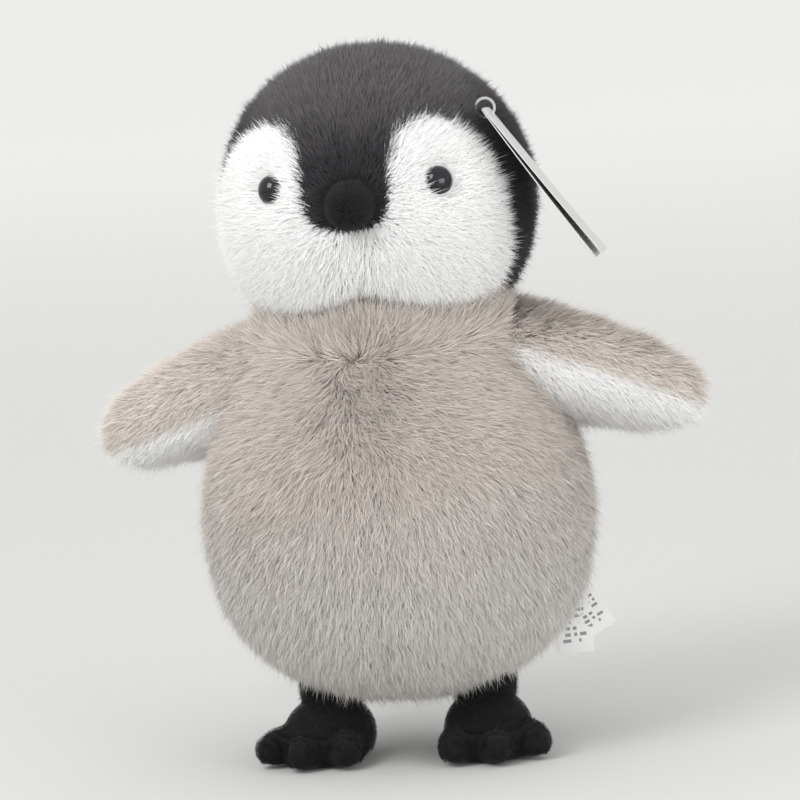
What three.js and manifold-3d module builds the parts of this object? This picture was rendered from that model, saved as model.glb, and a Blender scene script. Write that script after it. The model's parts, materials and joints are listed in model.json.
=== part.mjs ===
// Standing plush penguin: a stuffed pear-shaped torso, a round head that turns and nods in a
// socket of the torso, two flippers that flap, two legs that swing, a swing tag and a care label.
// Millimetres, +Z up, -Y is the front, +X is the toy's own left. The soles stand on Z = 0 and the
// toy's upright axis is the Z axis.
import * as THREE from 'three';
import { mergeVertices } from 'three/addons/utils/BufferGeometryUtils.js';
import Module from 'manifold-3d';

const wasm = await Module();
wasm.setup();

// ---------------------------------------------------------------- driving dimensions
const TOTAL_HEIGHT = 354;
const GAP = 0.3; // between pieces that touch
const RUNNING_GAP = 1; // between pieces that move against each other
const PILE = 7; // pile fabric: backing and the depth of its fur
const WORLD = 600; // a length larger than the whole toy
const FACETS = { ball: 24, torso: 26, neck: 18, wing: 18, limb: 16, foot: 12, small: 14, wire: 6 };
const STEPS = { outline: 11, arc: 5, sweep: 5 }; // points along a curve, and poses of a sweep

const TORSO = { depthRatio: 0.9, bottom: 28, rim: 228, baseHalfWidth: 58, baseHalfDepth: 50 };
// half width of the torso against height, from the bottom of the belly to the neck
const TORSO_OUTLINE = [
  [0, TORSO.bottom],
  [34, 31],
  [58, 41],
  [80, 58],
  [94, 84],
  [99.5, 120],
  [94, 154],
  [83, 182],
  [71.5, 206],
  [64, TORSO.rim],
];

const HEAD = { radius: 79, pile: 8, socketGap: 2 };
HEAD.centre = TOTAL_HEIGHT - HEAD.radius;

// white face: outline of the left cheek panel seen from the front, about the head's centre
const FACE_OUTLINE = [
  [0, -6],
  [13, -5],
  [18.5, 0],
  [21, 9],
  [21.5, 24],
  [24, 36],
  [30, 44],
  [39, 47],
  [48, 45],
  [57, 38],
  [64, 26],
  [69, 10],
  [71, -8],
  [70.5, -26],
  [64, -42],
  [49, -60],
  [24, -74],
  [0, -77],
];

const NECK = { halfAngle: 16, thickness: 10 };
const EYE = { radius: 7, azimuth: 35, elevation: 11, seat: 73.5, stem: 3, stemLength: 22 };
EYE.bulge = 0.8; // the dome's height as a share of its radius
const WASHER = { radius: 9, thickness: 2, below: 12 };
const BEAK = { radius: 10.5, length: 19, root: 70, elevation: 5, dip: 12 };
BEAK.bluntness = 0.8; // below 1 the cone keeps its width further towards its tip

const WING = {
  reach: 90, // from the shoulder pivot to the tip
  root: 12, // from the pivot inwards, where it is cut off flat
  widest: 10, // from the pivot to where it is widest and thickest
  chord: 70,
  thickness: 58,
  pile: 5,
  sweep: 20, // tip turned backwards
  clearance: 4, // around it while it flaps
};
const SHOULDERS = {
  left: { side: 1, pivot: [74, 6, 194], droop: 20, pitch: -8 },
  right: { side: -1, pivot: [-74, 6, 188], droop: 20, pitch: 16 },
};
const FLAP = { down: 25, up: 45 };

const LEG = { spread: 38.5, y: -8, pivotHeight: 44, ball: 16, shank: 14.5, ankle: 27, splay: 15 };
const LEG_SWING = { back: 20, forward: 22 };
const FOOT = { sole: 2.6, fabric: 2 };
// the foot's stuffed lobes before the sole trims them: centre and half sizes, toes towards -Y
const FOOT_LOBES = [
  { centre: [0, -8, 10], half: [24, 33, 20], turn: 0 },
  { centre: [0, -33, 10], half: [10.5, 16, 11], turn: 0 },
  { centre: [-17.5, -26, 9.5], half: [11, 16, 10.5], turn: -12 },
  { centre: [17.5, -26, 9.5], half: [11, 16, 10.5], turn: 12 },
];

const TAG = { length: 90, width: 44, leaf: 0.7, opening: 2.2, margin: 4.5, hole: 2.6 };
TAG.parting = 4; // below the hole's centre, where the two leaves part
TAG.hinge = [63.5, -26, 41.5]; // about the head's centre
TAG.lean = 34.4; // the card's slope away from the vertical
TAG.twist = 5; // turn about the card's own length
const LOOP = { radius: 4.7, wire: 0.7 };

const LABEL = { width: 19, thickness: 0.6, root: [80, 12, 80], upper: 30, lower: 36 };
LABEL.slot = 1.8; // width of the seam's opening around both leaves
LABEL.upperLean = 31;
LABEL.lowerLean = 4;

// ---------------------------------------------------------------- colours and finishes
const FINISH = {
  taupe: { color: 0xbdb3ac, roughness: 0.95 },
  charcoal: { color: 0x454346, roughness: 0.95 },
  white: { color: 0xf4f3f2, roughness: 0.95 },
  black: { color: 0x161617, roughness: 0.9 },
  velour: { color: 0x212124, roughness: 0.85 },
  gloss: { color: 0x08080a, roughness: 0.08 },
  plastic: { color: 0xe6e6e2, roughness: 0.4 },
  fill: { color: 0xf2f2ee, roughness: 1 },
  card: { color: 0xc9c9c6, roughness: 0.5 },
  satin: { color: 0xf2f2f0, roughness: 0.4 },
};

// ---------------------------------------------------------------- solids
const radians = THREE.MathUtils.degToRad;

/** A closed geometry as a manifold solid, with its faces turned outwards. */
function solidOf(geometry) {
  const bare = geometry.clone();
  bare.deleteAttribute('normal');
  bare.deleteAttribute('uv');
  const merged = mergeVertices(bare, 1e-4);
  const index = merged.index.array;
  const corners = [];
  for (let i = 0; i < index.length; i += 3) {
    const [a, b, c] = [index[i], index[i + 1], index[i + 2]];
    if (a !== b && b !== c && c !== a) corners.push(a, b, c);
  }
  const points = merged.attributes.position.array;
  if (signedVolume(points, corners) < 0) corners.reverse();
  return new wasm.Manifold(
    new wasm.Mesh({
      numProp: 3,
      vertProperties: new Float32Array(points),
      triVerts: new Uint32Array(corners),
    }),
  );
}

/** Six times the volume inside the triangles, negative when they face inwards. */
function signedVolume(points, corners) {
  const corner = (i) => new THREE.Vector3().fromArray(points, 3 * corners[i]);
  let sum = 0;
  for (let i = 0; i < corners.length; i += 3) {
    sum += corner(i).dot(corner(i + 1).cross(corner(i + 2)));
  }
  return sum;
}

function geometryOf(solid) {
  const mesh = solid.getMesh();
  const geometry = new THREE.BufferGeometry();
  geometry.setAttribute('position', new THREE.BufferAttribute(mesh.vertProperties, 3));
  geometry.setIndex(new THREE.BufferAttribute(mesh.triVerts, 1));
  return geometry;
}

function union(solids) {
  return solids.reduce((whole, next) => whole.add(next));
}

/** A round body about Z from a profile of [radius, height] points, flattened front to back. */
function turned(profile, segments, depthRatio = 1) {
  const points = profile.map(([radius, height]) => new THREE.Vector2(radius, height));
  const geometry = new THREE.LatheGeometry(points, segments);
  geometry.rotateX(Math.PI / 2).scale(1, depthRatio, 1);
  return geometry;
}

function ball(radius, segments = FACETS.ball) {
  return new THREE.SphereGeometry(radius, segments, segments / 2).rotateX(Math.PI / 2);
}

/** A large block that keeps the part of space beyond GAP / 2 on one side of the middle plane. */
function halfSpace(axis, side) {
  const offset = new THREE.Vector3();
  offset[axis] = side * (WORLD / 2 + GAP / 2);
  return solidOf(new THREE.BoxGeometry(WORLD, WORLD, WORLD).translate(...offset.toArray()));
}

/** The space that a geometry passes through while it turns about an axis through a pivot. */
function swept(geometry, axis, pivot, fromDegrees, toDegrees) {
  const poses = [];
  for (let i = 0; i <= STEPS.sweep; i += 1) {
    const angle = fromDegrees + ((toDegrees - fromDegrees) * i) / STEPS.sweep;
    const turn = new THREE.Matrix4().makeRotationAxis(axis, radians(angle));
    const about = new THREE.Matrix4().makeTranslation(...pivot).multiply(turn);
    about.multiply(new THREE.Matrix4().makeTranslation(...pivot.map((value) => -value)));
    poses.push(solidOf(geometry.clone().applyMatrix4(about)));
  }
  return union(poses);
}

function piece(name, geometry, finish) {
  const mesh = new THREE.Mesh(geometry, new THREE.MeshStandardMaterial(finish));
  mesh.name = name;
  return mesh;
}

function part(name, solid, finish) {
  return piece(name, geometryOf(solid), finish);
}

// ---------------------------------------------------------------- legs and feet
/** The leg's ball and shank about its own pivot, thicker by grow all round. */
function shankProfile(grow) {
  const ballRadius = LEG.ball + grow;
  const shankRadius = LEG.shank + grow;
  const foot = -(LEG.pivotHeight - LEG.ankle) - grow;
  const points = [[0, foot], [shankRadius, foot]];
  const start = -Math.acos(shankRadius / ballRadius);
  for (let i = 0; i < STEPS.arc; i += 1) {
    const angle = start + ((Math.PI / 2 - start) * i) / STEPS.arc;
    points.push([ballRadius * Math.cos(angle), ballRadius * Math.sin(angle)]);
  }
  points.push([0, ballRadius]);
  return points;
}

function shankGeometry(grow) {
  return turned(shankProfile(grow), FACETS.limb);
}

/** The foot's lobes joined and trimmed to stand on the floor, smaller by inset all round. */
function footSolid(inset) {
  const lobes = FOOT_LOBES.map(({ centre, half, turn }) => {
    const lobe = ball(1, FACETS.foot).scale(...half.map((value) => value - inset));
    return solidOf(lobe.rotateZ(radians(turn)).translate(...centre));
  });
  const above = new THREE.BoxGeometry(WORLD, WORLD, WORLD).translate(0, 0, WORLD / 2);
  return union(lobes).intersect(solidOf(above));
}

function slab(low, high) {
  return new THREE.BoxGeometry(WORLD, WORLD, high - low).translate(0, 0, (low + high) / 2);
}

function makeLeg(side, name) {
  const leg = new THREE.Group();
  leg.position.set(side * LEG.spread, LEG.y, LEG.pivotHeight);

  const foot = new THREE.Group();
  foot.position.set(0, 0, -LEG.pivotHeight);
  foot.rotation.z = radians(side * LEG.splay);
  const shankHere = solidOf(shankGeometry(GAP).translate(0, 0, LEG.pivotHeight));
  const whole = footSolid(0).subtract(shankHere);
  const inside = footSolid(FOOT.fabric).intersect(solidOf(slab(FOOT.sole + GAP, WORLD)));
  const shell = whole.intersect(solidOf(slab(FOOT.sole + GAP, WORLD)));
  const opened = footSolid(FOOT.fabric - GAP);
  foot.add(part(`foot_sole_${name}`, whole.intersect(solidOf(slab(0, FOOT.sole))), FINISH.velour));
  foot.add(part(`foot_upper_${name}`, shell.subtract(opened), FINISH.velour));
  foot.add(part(`foot_stuffing_${name}`, inside.subtract(shankHere), FINISH.fill));

  leg.add(piece(`shank_${name}`, shankGeometry(0), FINISH.black));
  leg.add(foot);
  return leg;
}

/** The socket of the leg's ball and the slot that its shank swings in. */
function legClearance(side) {
  const half = LEG.shank + RUNNING_GAP;
  const edge = (degrees, reach, offset) => {
    const [sin, cos] = [Math.sin(radians(degrees)), Math.cos(radians(degrees))];
    return new THREE.Vector2(-sin * reach - cos * offset, -cos * reach + sin * offset);
  };
  const slot = new THREE.Shape([
    edge(LEG_SWING.forward, 0, half),
    edge(LEG_SWING.forward, LEG.pivotHeight, half),
    edge(-LEG_SWING.back, LEG.pivotHeight, -half),
    edge(-LEG_SWING.back, 0, -half),
  ]);
  const hip = [side * LEG.spread, LEG.y, LEG.pivotHeight];
  const fan = new THREE.ExtrudeGeometry(slot, { depth: 2 * half, bevelEnabled: false });
  fan.translate(0, 0, -half).rotateY(Math.PI / 2).rotateX(Math.PI / 2).translate(...hip);
  const socket = ball(LEG.ball + RUNNING_GAP, FACETS.limb).translate(...hip);
  return solidOf(socket).add(solidOf(fan));
}

// ---------------------------------------------------------------- wings
/**
 * The flipper about its shoulder pivot, smaller by inset all round: span along X, chord along Y,
 * thickness along Z, cut off flat at root inwards of the pivot.
 */
function wingSolid(side, inset, root = WING.root, segments = FACETS.wing) {
  const { reach, widest, chord, thickness } = WING;
  const oval = ball(1, segments);
  oval.scale(reach - widest - inset, chord / 2 - inset, thickness / 2 - inset);
  const kept = new THREE.BoxGeometry(WORLD, WORLD, WORLD);
  kept.translate(side * (WORLD / 2 - root), 0, 0);
  return solidOf(oval.translate(side * widest, 0, 0)).intersect(solidOf(kept));
}

function shoulderGroup({ side, pivot, droop, pitch }) {
  const group = new THREE.Group();
  group.position.set(...pivot);
  group.rotation.set(radians(pitch), radians(side * droop), radians(side * WING.sweep), 'ZYX');
  group.updateMatrix();
  return group;
}

function makeWing(name) {
  const { side } = SHOULDERS[name];
  const wing = shoulderGroup(SHOULDERS[name]);
  const skin = wingSolid(side, 0).subtract(wingSolid(side, WING.pile, WING.root + GAP));
  wing.add(part(`wing_outer_${name}`, skin.intersect(halfSpace('z', 1)), FINISH.taupe));
  wing.add(part(`wing_inner_${name}`, skin.intersect(halfSpace('z', -1)), FINISH.white));
  wing.add(part(`wing_stuffing_${name}`, wingSolid(side, WING.pile + GAP), FINISH.fill));
  return wing;
}

function wingClearance(name) {
  const shoulder = SHOULDERS[name];
  const { side } = shoulder;
  const grown = wingSolid(side, -WING.clearance, WING.root + WING.clearance, FACETS.foot);
  const placed = geometryOf(grown).applyMatrix4(shoulderGroup(shoulder).matrix);
  const axis = new THREE.Vector3(0, side, 0);
  return swept(placed, axis, shoulder.pivot, -FLAP.up, FLAP.down);
}

// ---------------------------------------------------------------- torso
/** The torso's outline moved inwards by inset, closed to the axis at the neck. */
function torsoGeometry(inset) {
  const points = TORSO_OUTLINE.map(([radius, height]) => new THREE.Vector2(radius, height));
  const curve = new THREE.SplineCurve(points);
  const profile = [[0, TORSO.bottom + inset]];
  for (let i = 1; i <= STEPS.outline; i += 1) {
    const at = curve.getPointAt(i / STEPS.outline);
    const along = curve.getTangentAt(i / STEPS.outline);
    profile.push([at.x - along.y * inset, at.y + along.x * inset]);
  }
  profile.push([0, profile.at(-1)[1]]);
  return turned(profile, FACETS.torso, TORSO.depthRatio);
}

/** The thin folded care label, its two leaves joined where they enter the side seam. */
function labelSolid() {
  const leaf = (length, lean, offset) => {
    const plate = new THREE.BoxGeometry(LABEL.width, LABEL.thickness, length);
    plate.translate(0, offset, -length / 2).rotateY(radians(-lean));
    return solidOf(plate.translate(...LABEL.root));
  };
  const upper = leaf(LABEL.upper, LABEL.upperLean, -LABEL.thickness / 2);
  const lower = leaf(LABEL.lower, LABEL.lowerLean, LABEL.thickness / 2 - GAP / 2);
  return upper.add(lower);
}

/** The label grown by a gap, as the seam around it. */
function labelSlot() {
  const { width, slot } = LABEL;
  const plate = (length, lean) => {
    const box = new THREE.BoxGeometry(width + 2 * GAP, slot, length + 2 * GAP);
    box.translate(0, 0, -length / 2).rotateY(radians(-lean));
    return solidOf(box.translate(...LABEL.root));
  };
  return plate(LABEL.upper, LABEL.upperLean).add(plate(LABEL.lower, LABEL.lowerLean));
}

function neckGeometry(grow) {
  const angle = NECK.halfAngle + THREE.MathUtils.radToDeg(grow / HEAD.radius);
  const inner = HEAD.radius + HEAD.socketGap - grow;
  const outer = HEAD.radius + HEAD.socketGap + NECK.thickness + grow;
  const profile = [];
  for (let i = 0; i <= STEPS.arc; i += 1) {
    const turn = radians((angle * i) / STEPS.arc);
    profile.push([outer * Math.sin(turn), -outer * Math.cos(turn)]);
  }
  for (let i = STEPS.arc; i >= 0; i -= 1) {
    const turn = radians((angle * i) / STEPS.arc);
    profile.push([inner * Math.sin(turn), -inner * Math.cos(turn)]);
  }
  return turned(profile, FACETS.neck).translate(0, 0, HEAD.centre);
}

function makeTorso() {
  const torso = new THREE.Group();
  const moving = union([
    solidOf(ball(HEAD.radius + HEAD.socketGap).translate(0, 0, HEAD.centre)),
    solidOf(neckGeometry(RUNNING_GAP)),
    legClearance(1),
    legClearance(-1),
    wingClearance('left'),
    wingClearance('right'),
  ]);
  const core = solidOf(torsoGeometry(PILE + GAP));
  const shell = solidOf(torsoGeometry(0))
    .subtract(solidOf(torsoGeometry(PILE)))
    .subtract(solidOf(slab(TORSO.rim - PILE - 2 * GAP, WORLD)).intersect(solidOf(neckOpening())))
    .subtract(moving)
    .subtract(labelSlot());

  const base = solidOf(baseColumn(0));
  const walls = shell.subtract(solidOf(baseColumn(GAP)));
  const quarters = [
    ['body_front_left', 1, -1],
    ['body_front_right', -1, -1],
    ['body_back_left', 1, 1],
    ['body_back_right', -1, 1],
  ];
  for (const [name, x, y] of quarters) {
    const panel = walls.intersect(halfSpace('x', x)).intersect(halfSpace('y', y));
    torso.add(part(name, panel, FINISH.taupe));
  }
  torso.add(part('body_base', shell.intersect(base), FINISH.taupe));
  const stuffing = core.subtract(moving).subtract(labelSlot());
  torso.add(part('body_stuffing', stuffing, FINISH.fill));
  torso.add(part('care_label', labelSolid(), FINISH.satin));
  return torso;
}

/** The upright oval column whose foot is the base panel between and around the legs. */
function baseColumn(grow) {
  const height = TORSO.baseHalfDepth;
  const column = new THREE.CylinderGeometry(1, 1, height, FACETS.ball).rotateX(Math.PI / 2);
  column.scale(TORSO.baseHalfWidth + grow, TORSO.baseHalfDepth + grow, 1);
  return column.translate(0, 0, TORSO.bottom + height / 2 - 2 * GAP);
}

/** The opening at the torso's neck, inside its rim of fabric. */
function neckOpening() {
  const [radius] = TORSO_OUTLINE.at(-1);
  const opening = new THREE.CylinderGeometry(1, 1, WORLD, FACETS.ball).rotateX(Math.PI / 2);
  return opening.scale(radius - PILE, (radius - PILE) * TORSO.depthRatio, 1);
}

function makeNeck() {
  return piece('neck_stuffing', neckGeometry(0), FINISH.fill);
}

// ---------------------------------------------------------------- head
/** Moves each corner of an outline outwards by grow, along the bisector of its two edges. */
function grownOutline(outline, grow) {
  return outline.map((point, i) => {
    const before = outline.at(i - 1);
    const after = outline[(i + 1) % outline.length];
    const along = new THREE.Vector2(after[0] - before[0], after[1] - before[1]).normalize();
    return new THREE.Vector2(point[0] - along.y * grow, point[1] + along.x * grow);
  });
}

/** The column in front of the head that holds one white cheek, the left one before side flips it. */
function cheekColumn(side, grow) {
  const shape = new THREE.Shape(grownOutline(FACE_OUTLINE, grow));
  const column = new THREE.ExtrudeGeometry(shape, { depth: WORLD, bevelEnabled: false });
  column.rotateX(Math.PI / 2);
  if (side < 0) column.scale(-1, 1, 1);
  return column;
}

/** Moves a geometry out along Z by distance, then turns Z to an azimuth and an elevation. */
function aimed(geometry, azimuth, elevation, distance) {
  geometry.translate(0, 0, distance);
  return geometry.rotateX(radians(90 - elevation)).rotateZ(radians(azimuth));
}

/** A domed eye that looks along +Z, with the stem behind it. */
function eyeGeometry(grow) {
  const radius = EYE.radius + grow;
  const stem = EYE.stem + grow;
  const end = -EYE.stemLength - grow;
  const profile = [[0, end], [stem, end], [stem, -grow], [radius, -grow]];
  for (let i = 1; i < STEPS.arc; i += 1) {
    const angle = (Math.PI / 2) * (i / STEPS.arc);
    profile.push([radius * Math.cos(angle), radius * Math.sin(angle) * EYE.bulge]);
  }
  profile.push([0, radius * EYE.bulge]);
  return turned(profile, FACETS.limb);
}

function washerGeometry(grow) {
  const inner = EYE.stem + GAP;
  const outer = WASHER.radius + grow;
  const low = -WASHER.below - WASHER.thickness - grow;
  const high = -WASHER.below + grow;
  const profile = [[inner, low], [outer, low], [outer, high], [inner, high], [inner, low]];
  return turned(profile, FACETS.small);
}

function eyeAt(geometry, side) {
  return aimed(geometry, side * EYE.azimuth, EYE.elevation, EYE.seat);
}

/** Round-tipped cone that points forwards and a little down. */
function beakGeometry(grow) {
  const profile = [[0, -grow]];
  for (let i = 0; i < STEPS.arc; i += 1) {
    const angle = (Math.PI / 2) * (i / STEPS.arc);
    const radius = (BEAK.radius + grow) * Math.cos(angle) ** BEAK.bluntness;
    profile.push([radius, (BEAK.length + grow) * Math.sin(angle)]);
  }
  profile.push([0, BEAK.length + grow]);
  const cone = turned(profile, FACETS.limb);
  return aimed(cone.rotateX(radians(BEAK.dip)), 0, BEAK.elevation, BEAK.root);
}

/** The loop that threads the card's hole, passes over its top edge and enters the hood. */
function loopGeometry(grow) {
  const { radius, wire } = LOOP;
  const ring = new THREE.TorusGeometry(radius, wire + grow, FACETS.wire, FACETS.limb);
  ring.rotateX(Math.PI / 2).translate(0, 0, radius);
  return ring;
}

/** The tag's own frame on the head: Z up the card, X out of its outer face. */
function tagFrame() {
  const frame = new THREE.Group();
  frame.position.set(...TAG.hinge);
  frame.rotation.set(0, radians(-TAG.lean), radians(TAG.twist), 'YZX');
  frame.updateMatrix();
  return frame;
}

/** A solid with the given side outline in the tag's frame, as wide as the card and grown by grow. */
function acrossCard(outline, grow) {
  const section = new THREE.Shape(outline.map(([x, z]) => new THREE.Vector2(x, z)));
  const depth = TAG.width + 2 * grow;
  const solid = new THREE.ExtrudeGeometry(section, { depth, bevelEnabled: false });
  return solid.rotateX(Math.PI / 2).translate(0, depth / 2, 0);
}

/** The folded card: two leaves joined at the fold above the hole, opening towards the free end. */
function cardGeometry() {
  const { leaf, opening, margin, length, parting } = TAG;
  const end = margin - length;
  const outline = [
    [leaf, margin],
    [leaf + opening, end],
    [opening, end],
    [GAP / 2, -parting],
    [-GAP / 2, -parting],
    [0, end],
    [-leaf, end],
    [-leaf, margin],
  ];
  return acrossCard(outline, 0);
}

function makeTag() {
  const tag = tagFrame();
  const hole = new THREE.CylinderGeometry(TAG.hole, TAG.hole, TAG.width, FACETS.small);
  hole.rotateZ(Math.PI / 2);
  const card = solidOf(cardGeometry()).subtract(solidOf(hole));
  tag.add(part('swing_tag', card, FINISH.card));
  return tag;
}

/** The flat that the card presses into the fur, open outwards so that the card can swing away. */
function tagClearance() {
  const back = -TAG.leaf - RUNNING_GAP;
  const top = TAG.margin + RUNNING_GAP;
  const end = -TAG.length;
  const front = HEAD.radius;
  const outline = [[front, top], [back, top], [back, end], [front, end]];
  const press = acrossCard(outline, RUNNING_GAP);
  const width = TAG.width + 2 * RUNNING_GAP;
  const turn = new THREE.CylinderGeometry(top, top, width, FACETS.small);
  const { matrix } = tagFrame();
  return solidOf(press.applyMatrix4(matrix)).add(solidOf(turn.applyMatrix4(matrix)));
}

function makeHead() {
  const head = new THREE.Group();
  head.position.set(0, 0, HEAD.centre);
  const loopHere = (grow) => loopGeometry(grow).applyMatrix4(tagFrame().matrix);
  const fitted = union([
    solidOf(eyeAt(eyeGeometry(GAP), 1)),
    solidOf(eyeAt(eyeGeometry(GAP), -1)),
    solidOf(beakGeometry(GAP)),
    solidOf(loopHere(GAP)),
  ]);
  const shell = solidOf(ball(HEAD.radius))
    .subtract(solidOf(ball(HEAD.radius - HEAD.pile)))
    .subtract(fitted)
    .subtract(tagClearance());
  const sides = [
    ['left', 1],
    ['right', -1],
  ];
  const hood = shell
    .subtract(solidOf(cheekColumn(1, GAP)))
    .subtract(solidOf(cheekColumn(-1, GAP)));
  for (const [name, side] of sides) {
    const cheek = shell.intersect(solidOf(cheekColumn(side, 0))).intersect(halfSpace('x', side));
    head.add(part(`hood_${name}`, hood.intersect(halfSpace('x', side)), FINISH.charcoal));
    head.add(part(`cheek_${name}`, cheek, FINISH.white));
    head.add(piece(`eye_${name}`, eyeAt(eyeGeometry(0), side), FINISH.gloss));
    head.add(piece(`eye_washer_${name}`, eyeAt(washerGeometry(0), side), FINISH.plastic));
  }
  head.add(piece('beak', beakGeometry(0), FINISH.black));
  head.add(piece('tag_loop', loopHere(0), FINISH.plastic));

  const washers = sides.map(([, side]) => solidOf(eyeAt(washerGeometry(GAP), side)));
  const stuffing = solidOf(ball(HEAD.radius - HEAD.pile - GAP))
    .subtract(fitted)
    .subtract(union(washers));
  head.add(part('head_stuffing', stuffing, FINISH.fill));
  head.add(makeTag());
  return head;
}

// ---------------------------------------------------------------- the toy
const group = new THREE.Group();
group.add(makeTorso());
group.add(makeNeck());
group.add(makeHead());
for (const name of Object.keys(SHOULDERS)) group.add(makeWing(name));
group.add(makeLeg(1, 'left'));
group.add(makeLeg(-1, 'right'));

export default group;
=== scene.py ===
"""A standing plush penguin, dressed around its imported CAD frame, in metres, +Z up, -Y to the front.

Every coat of fur is real strands: a Geometry Nodes tree spreads them over a stuffed skin and lays
them along the nap that the skin carries. Skins are puffed up by a short cloth simulation.
"""

import json
import logging
import math
from dataclasses import dataclass, field
from enum import Enum
from typing import Callable, Sequence

import bmesh
import bpy
import numpy as np
from mathutils import Matrix, Vector


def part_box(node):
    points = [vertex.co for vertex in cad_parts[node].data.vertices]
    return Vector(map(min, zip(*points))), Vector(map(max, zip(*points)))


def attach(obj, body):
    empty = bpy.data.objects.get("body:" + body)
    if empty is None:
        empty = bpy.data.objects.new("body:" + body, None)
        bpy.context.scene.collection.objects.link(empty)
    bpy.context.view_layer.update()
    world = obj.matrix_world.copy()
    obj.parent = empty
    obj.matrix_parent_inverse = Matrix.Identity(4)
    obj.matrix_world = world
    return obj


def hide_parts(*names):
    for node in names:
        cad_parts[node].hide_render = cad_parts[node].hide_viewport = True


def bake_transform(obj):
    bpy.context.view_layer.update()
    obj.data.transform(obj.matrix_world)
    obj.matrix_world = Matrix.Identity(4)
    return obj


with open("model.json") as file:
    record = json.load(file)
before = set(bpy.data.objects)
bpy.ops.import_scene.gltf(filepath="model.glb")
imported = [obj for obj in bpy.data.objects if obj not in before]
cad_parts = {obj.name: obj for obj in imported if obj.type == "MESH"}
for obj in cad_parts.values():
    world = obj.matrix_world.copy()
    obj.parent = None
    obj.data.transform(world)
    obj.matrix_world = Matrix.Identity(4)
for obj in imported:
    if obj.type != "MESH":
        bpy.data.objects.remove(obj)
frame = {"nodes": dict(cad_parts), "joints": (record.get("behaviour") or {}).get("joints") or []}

LOG = logging.getLogger("penguin")
MM = 0.001
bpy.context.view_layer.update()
Field = Callable[[np.ndarray], np.ndarray]
Colour = tuple[float, float, float]


# ------------------------------------------------------------------ numbers and vectors
def unit(vectors: np.ndarray) -> np.ndarray:
    """Scales each row to length 1.

    Args:
        vectors: Rows of three numbers.

    Returns:
        The rows, each of length 1.
    """
    lengths = np.linalg.norm(vectors, axis=-1, keepdims=True)
    return vectors / np.maximum(lengths, 1e-9)


def smooth(values: np.ndarray, low: float, high: float) -> np.ndarray:
    """Rises smoothly from 0 at low to 1 at high.

    Args:
        values: The numbers to shape.
        low: Where the rise starts.
        high: Where it ends.

    Returns:
        A number from 0 to 1 for each value.
    """
    t = np.clip((values - low) / (high - low), 0.0, 1.0)
    return t * t * (3.0 - 2.0 * t)


def along_surface(directions: np.ndarray, normals: np.ndarray) -> np.ndarray:
    """Lays directions flat on a surface.

    Args:
        directions: The wanted directions.
        normals: The surface's normals.

    Returns:
        Directions of length 1 in the surface.
    """
    lift = (directions * normals).sum(axis=1, keepdims=True)
    return unit(directions - normals * lift)


def mottle(points: np.ndarray, size: float) -> np.ndarray:
    """Soft irregular patches from 0 to 1, made of crossed waves.

    Args:
        points: Rows of three numbers.
        size: How far apart the patches are.

    Returns:
        One number from 0 to 1 for each point.
    """
    waves = np.zeros(len(points))
    for number, turn in enumerate(np.linspace(0.4, 5.6, 6)):
        way = np.array((math.cos(turn), 0.6 * math.sin(3.1 * turn), math.sin(turn)))
        phase = points @ way * (2.0 * math.pi / size) * (1.0 + 0.21 * number)
        waves += np.sin(phase + 2.0 * number)
    return np.clip(0.5 + waves / 5.0, 0.0, 1.0)


def placed(points: np.ndarray, matrix: Matrix) -> np.ndarray:
    """Points moved and turned by a matrix.

    Args:
        points: Rows of three numbers.
        matrix: The move and turn.

    Returns:
        The points in their new places.
    """
    table = np.array(matrix)
    return points @ table[:3, :3].T + table[:3, 3]


def turn_up_to(direction: np.ndarray) -> np.ndarray:
    """The rotation that turns straight up towards a direction."""
    return np.array(Vector((0.0, 0.0, 1.0)).rotation_difference(Vector(direction)).to_matrix())


def outline_distance(points: np.ndarray, outline: np.ndarray) -> np.ndarray:
    """Signed distance of flat points to a closed outline, positive inside it.

    Args:
        points: Rows of two numbers.
        outline: The outline's corners in order.

    Returns:
        One distance for each point.
    """
    start = outline
    edge = np.roll(outline, -1, axis=0) - start
    offset = points[:, None, :] - start[None]
    share = np.clip((offset * edge).sum(-1) / (edge * edge).sum(-1), 0.0, 1.0)
    away = np.linalg.norm(offset - share[..., None] * edge, axis=-1).min(axis=1)
    rises = (start[:, 1] > points[:, None, 1]) != (start[:, 1] + edge[:, 1] > points[:, None, 1])
    slope = np.where(np.abs(edge[:, 1]) < 1e-12, 1e-12, edge[:, 1])
    crossing = start[:, 0] + (points[:, None, 1] - start[:, 1]) / slope * edge[:, 0]
    inside = (rises & (points[:, None, 0] < crossing)).sum(axis=1) % 2 == 1
    return np.where(inside, away, -away)


def curve_through(corners: Sequence[tuple[float, float]], count: int) -> np.ndarray:
    """A smooth curve through flat points (Catmull-Rom), evenly sampled between each pair.

    Args:
        corners: The points that the curve passes through.
        count: How many samples each stretch has.

    Returns:
        Rows of two numbers along the curve, ends included.
    """
    line = np.array(corners, float)
    padded = np.vstack([2 * line[0] - line[1], line, 2 * line[-1] - line[-2]])
    samples = []
    for i in range(len(line) - 1):
        a, b, c, d = padded[i : i + 4]
        for t in np.linspace(0.0, 1.0, count, endpoint=False):
            bend = (2 * a - 5 * b + 4 * c - d) * t * t + (3 * b - a - 3 * c + d) * t**3
            samples.append(0.5 * (2 * b + (c - a) * t + bend))
    return np.vstack([*samples, line[-1]])


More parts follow.
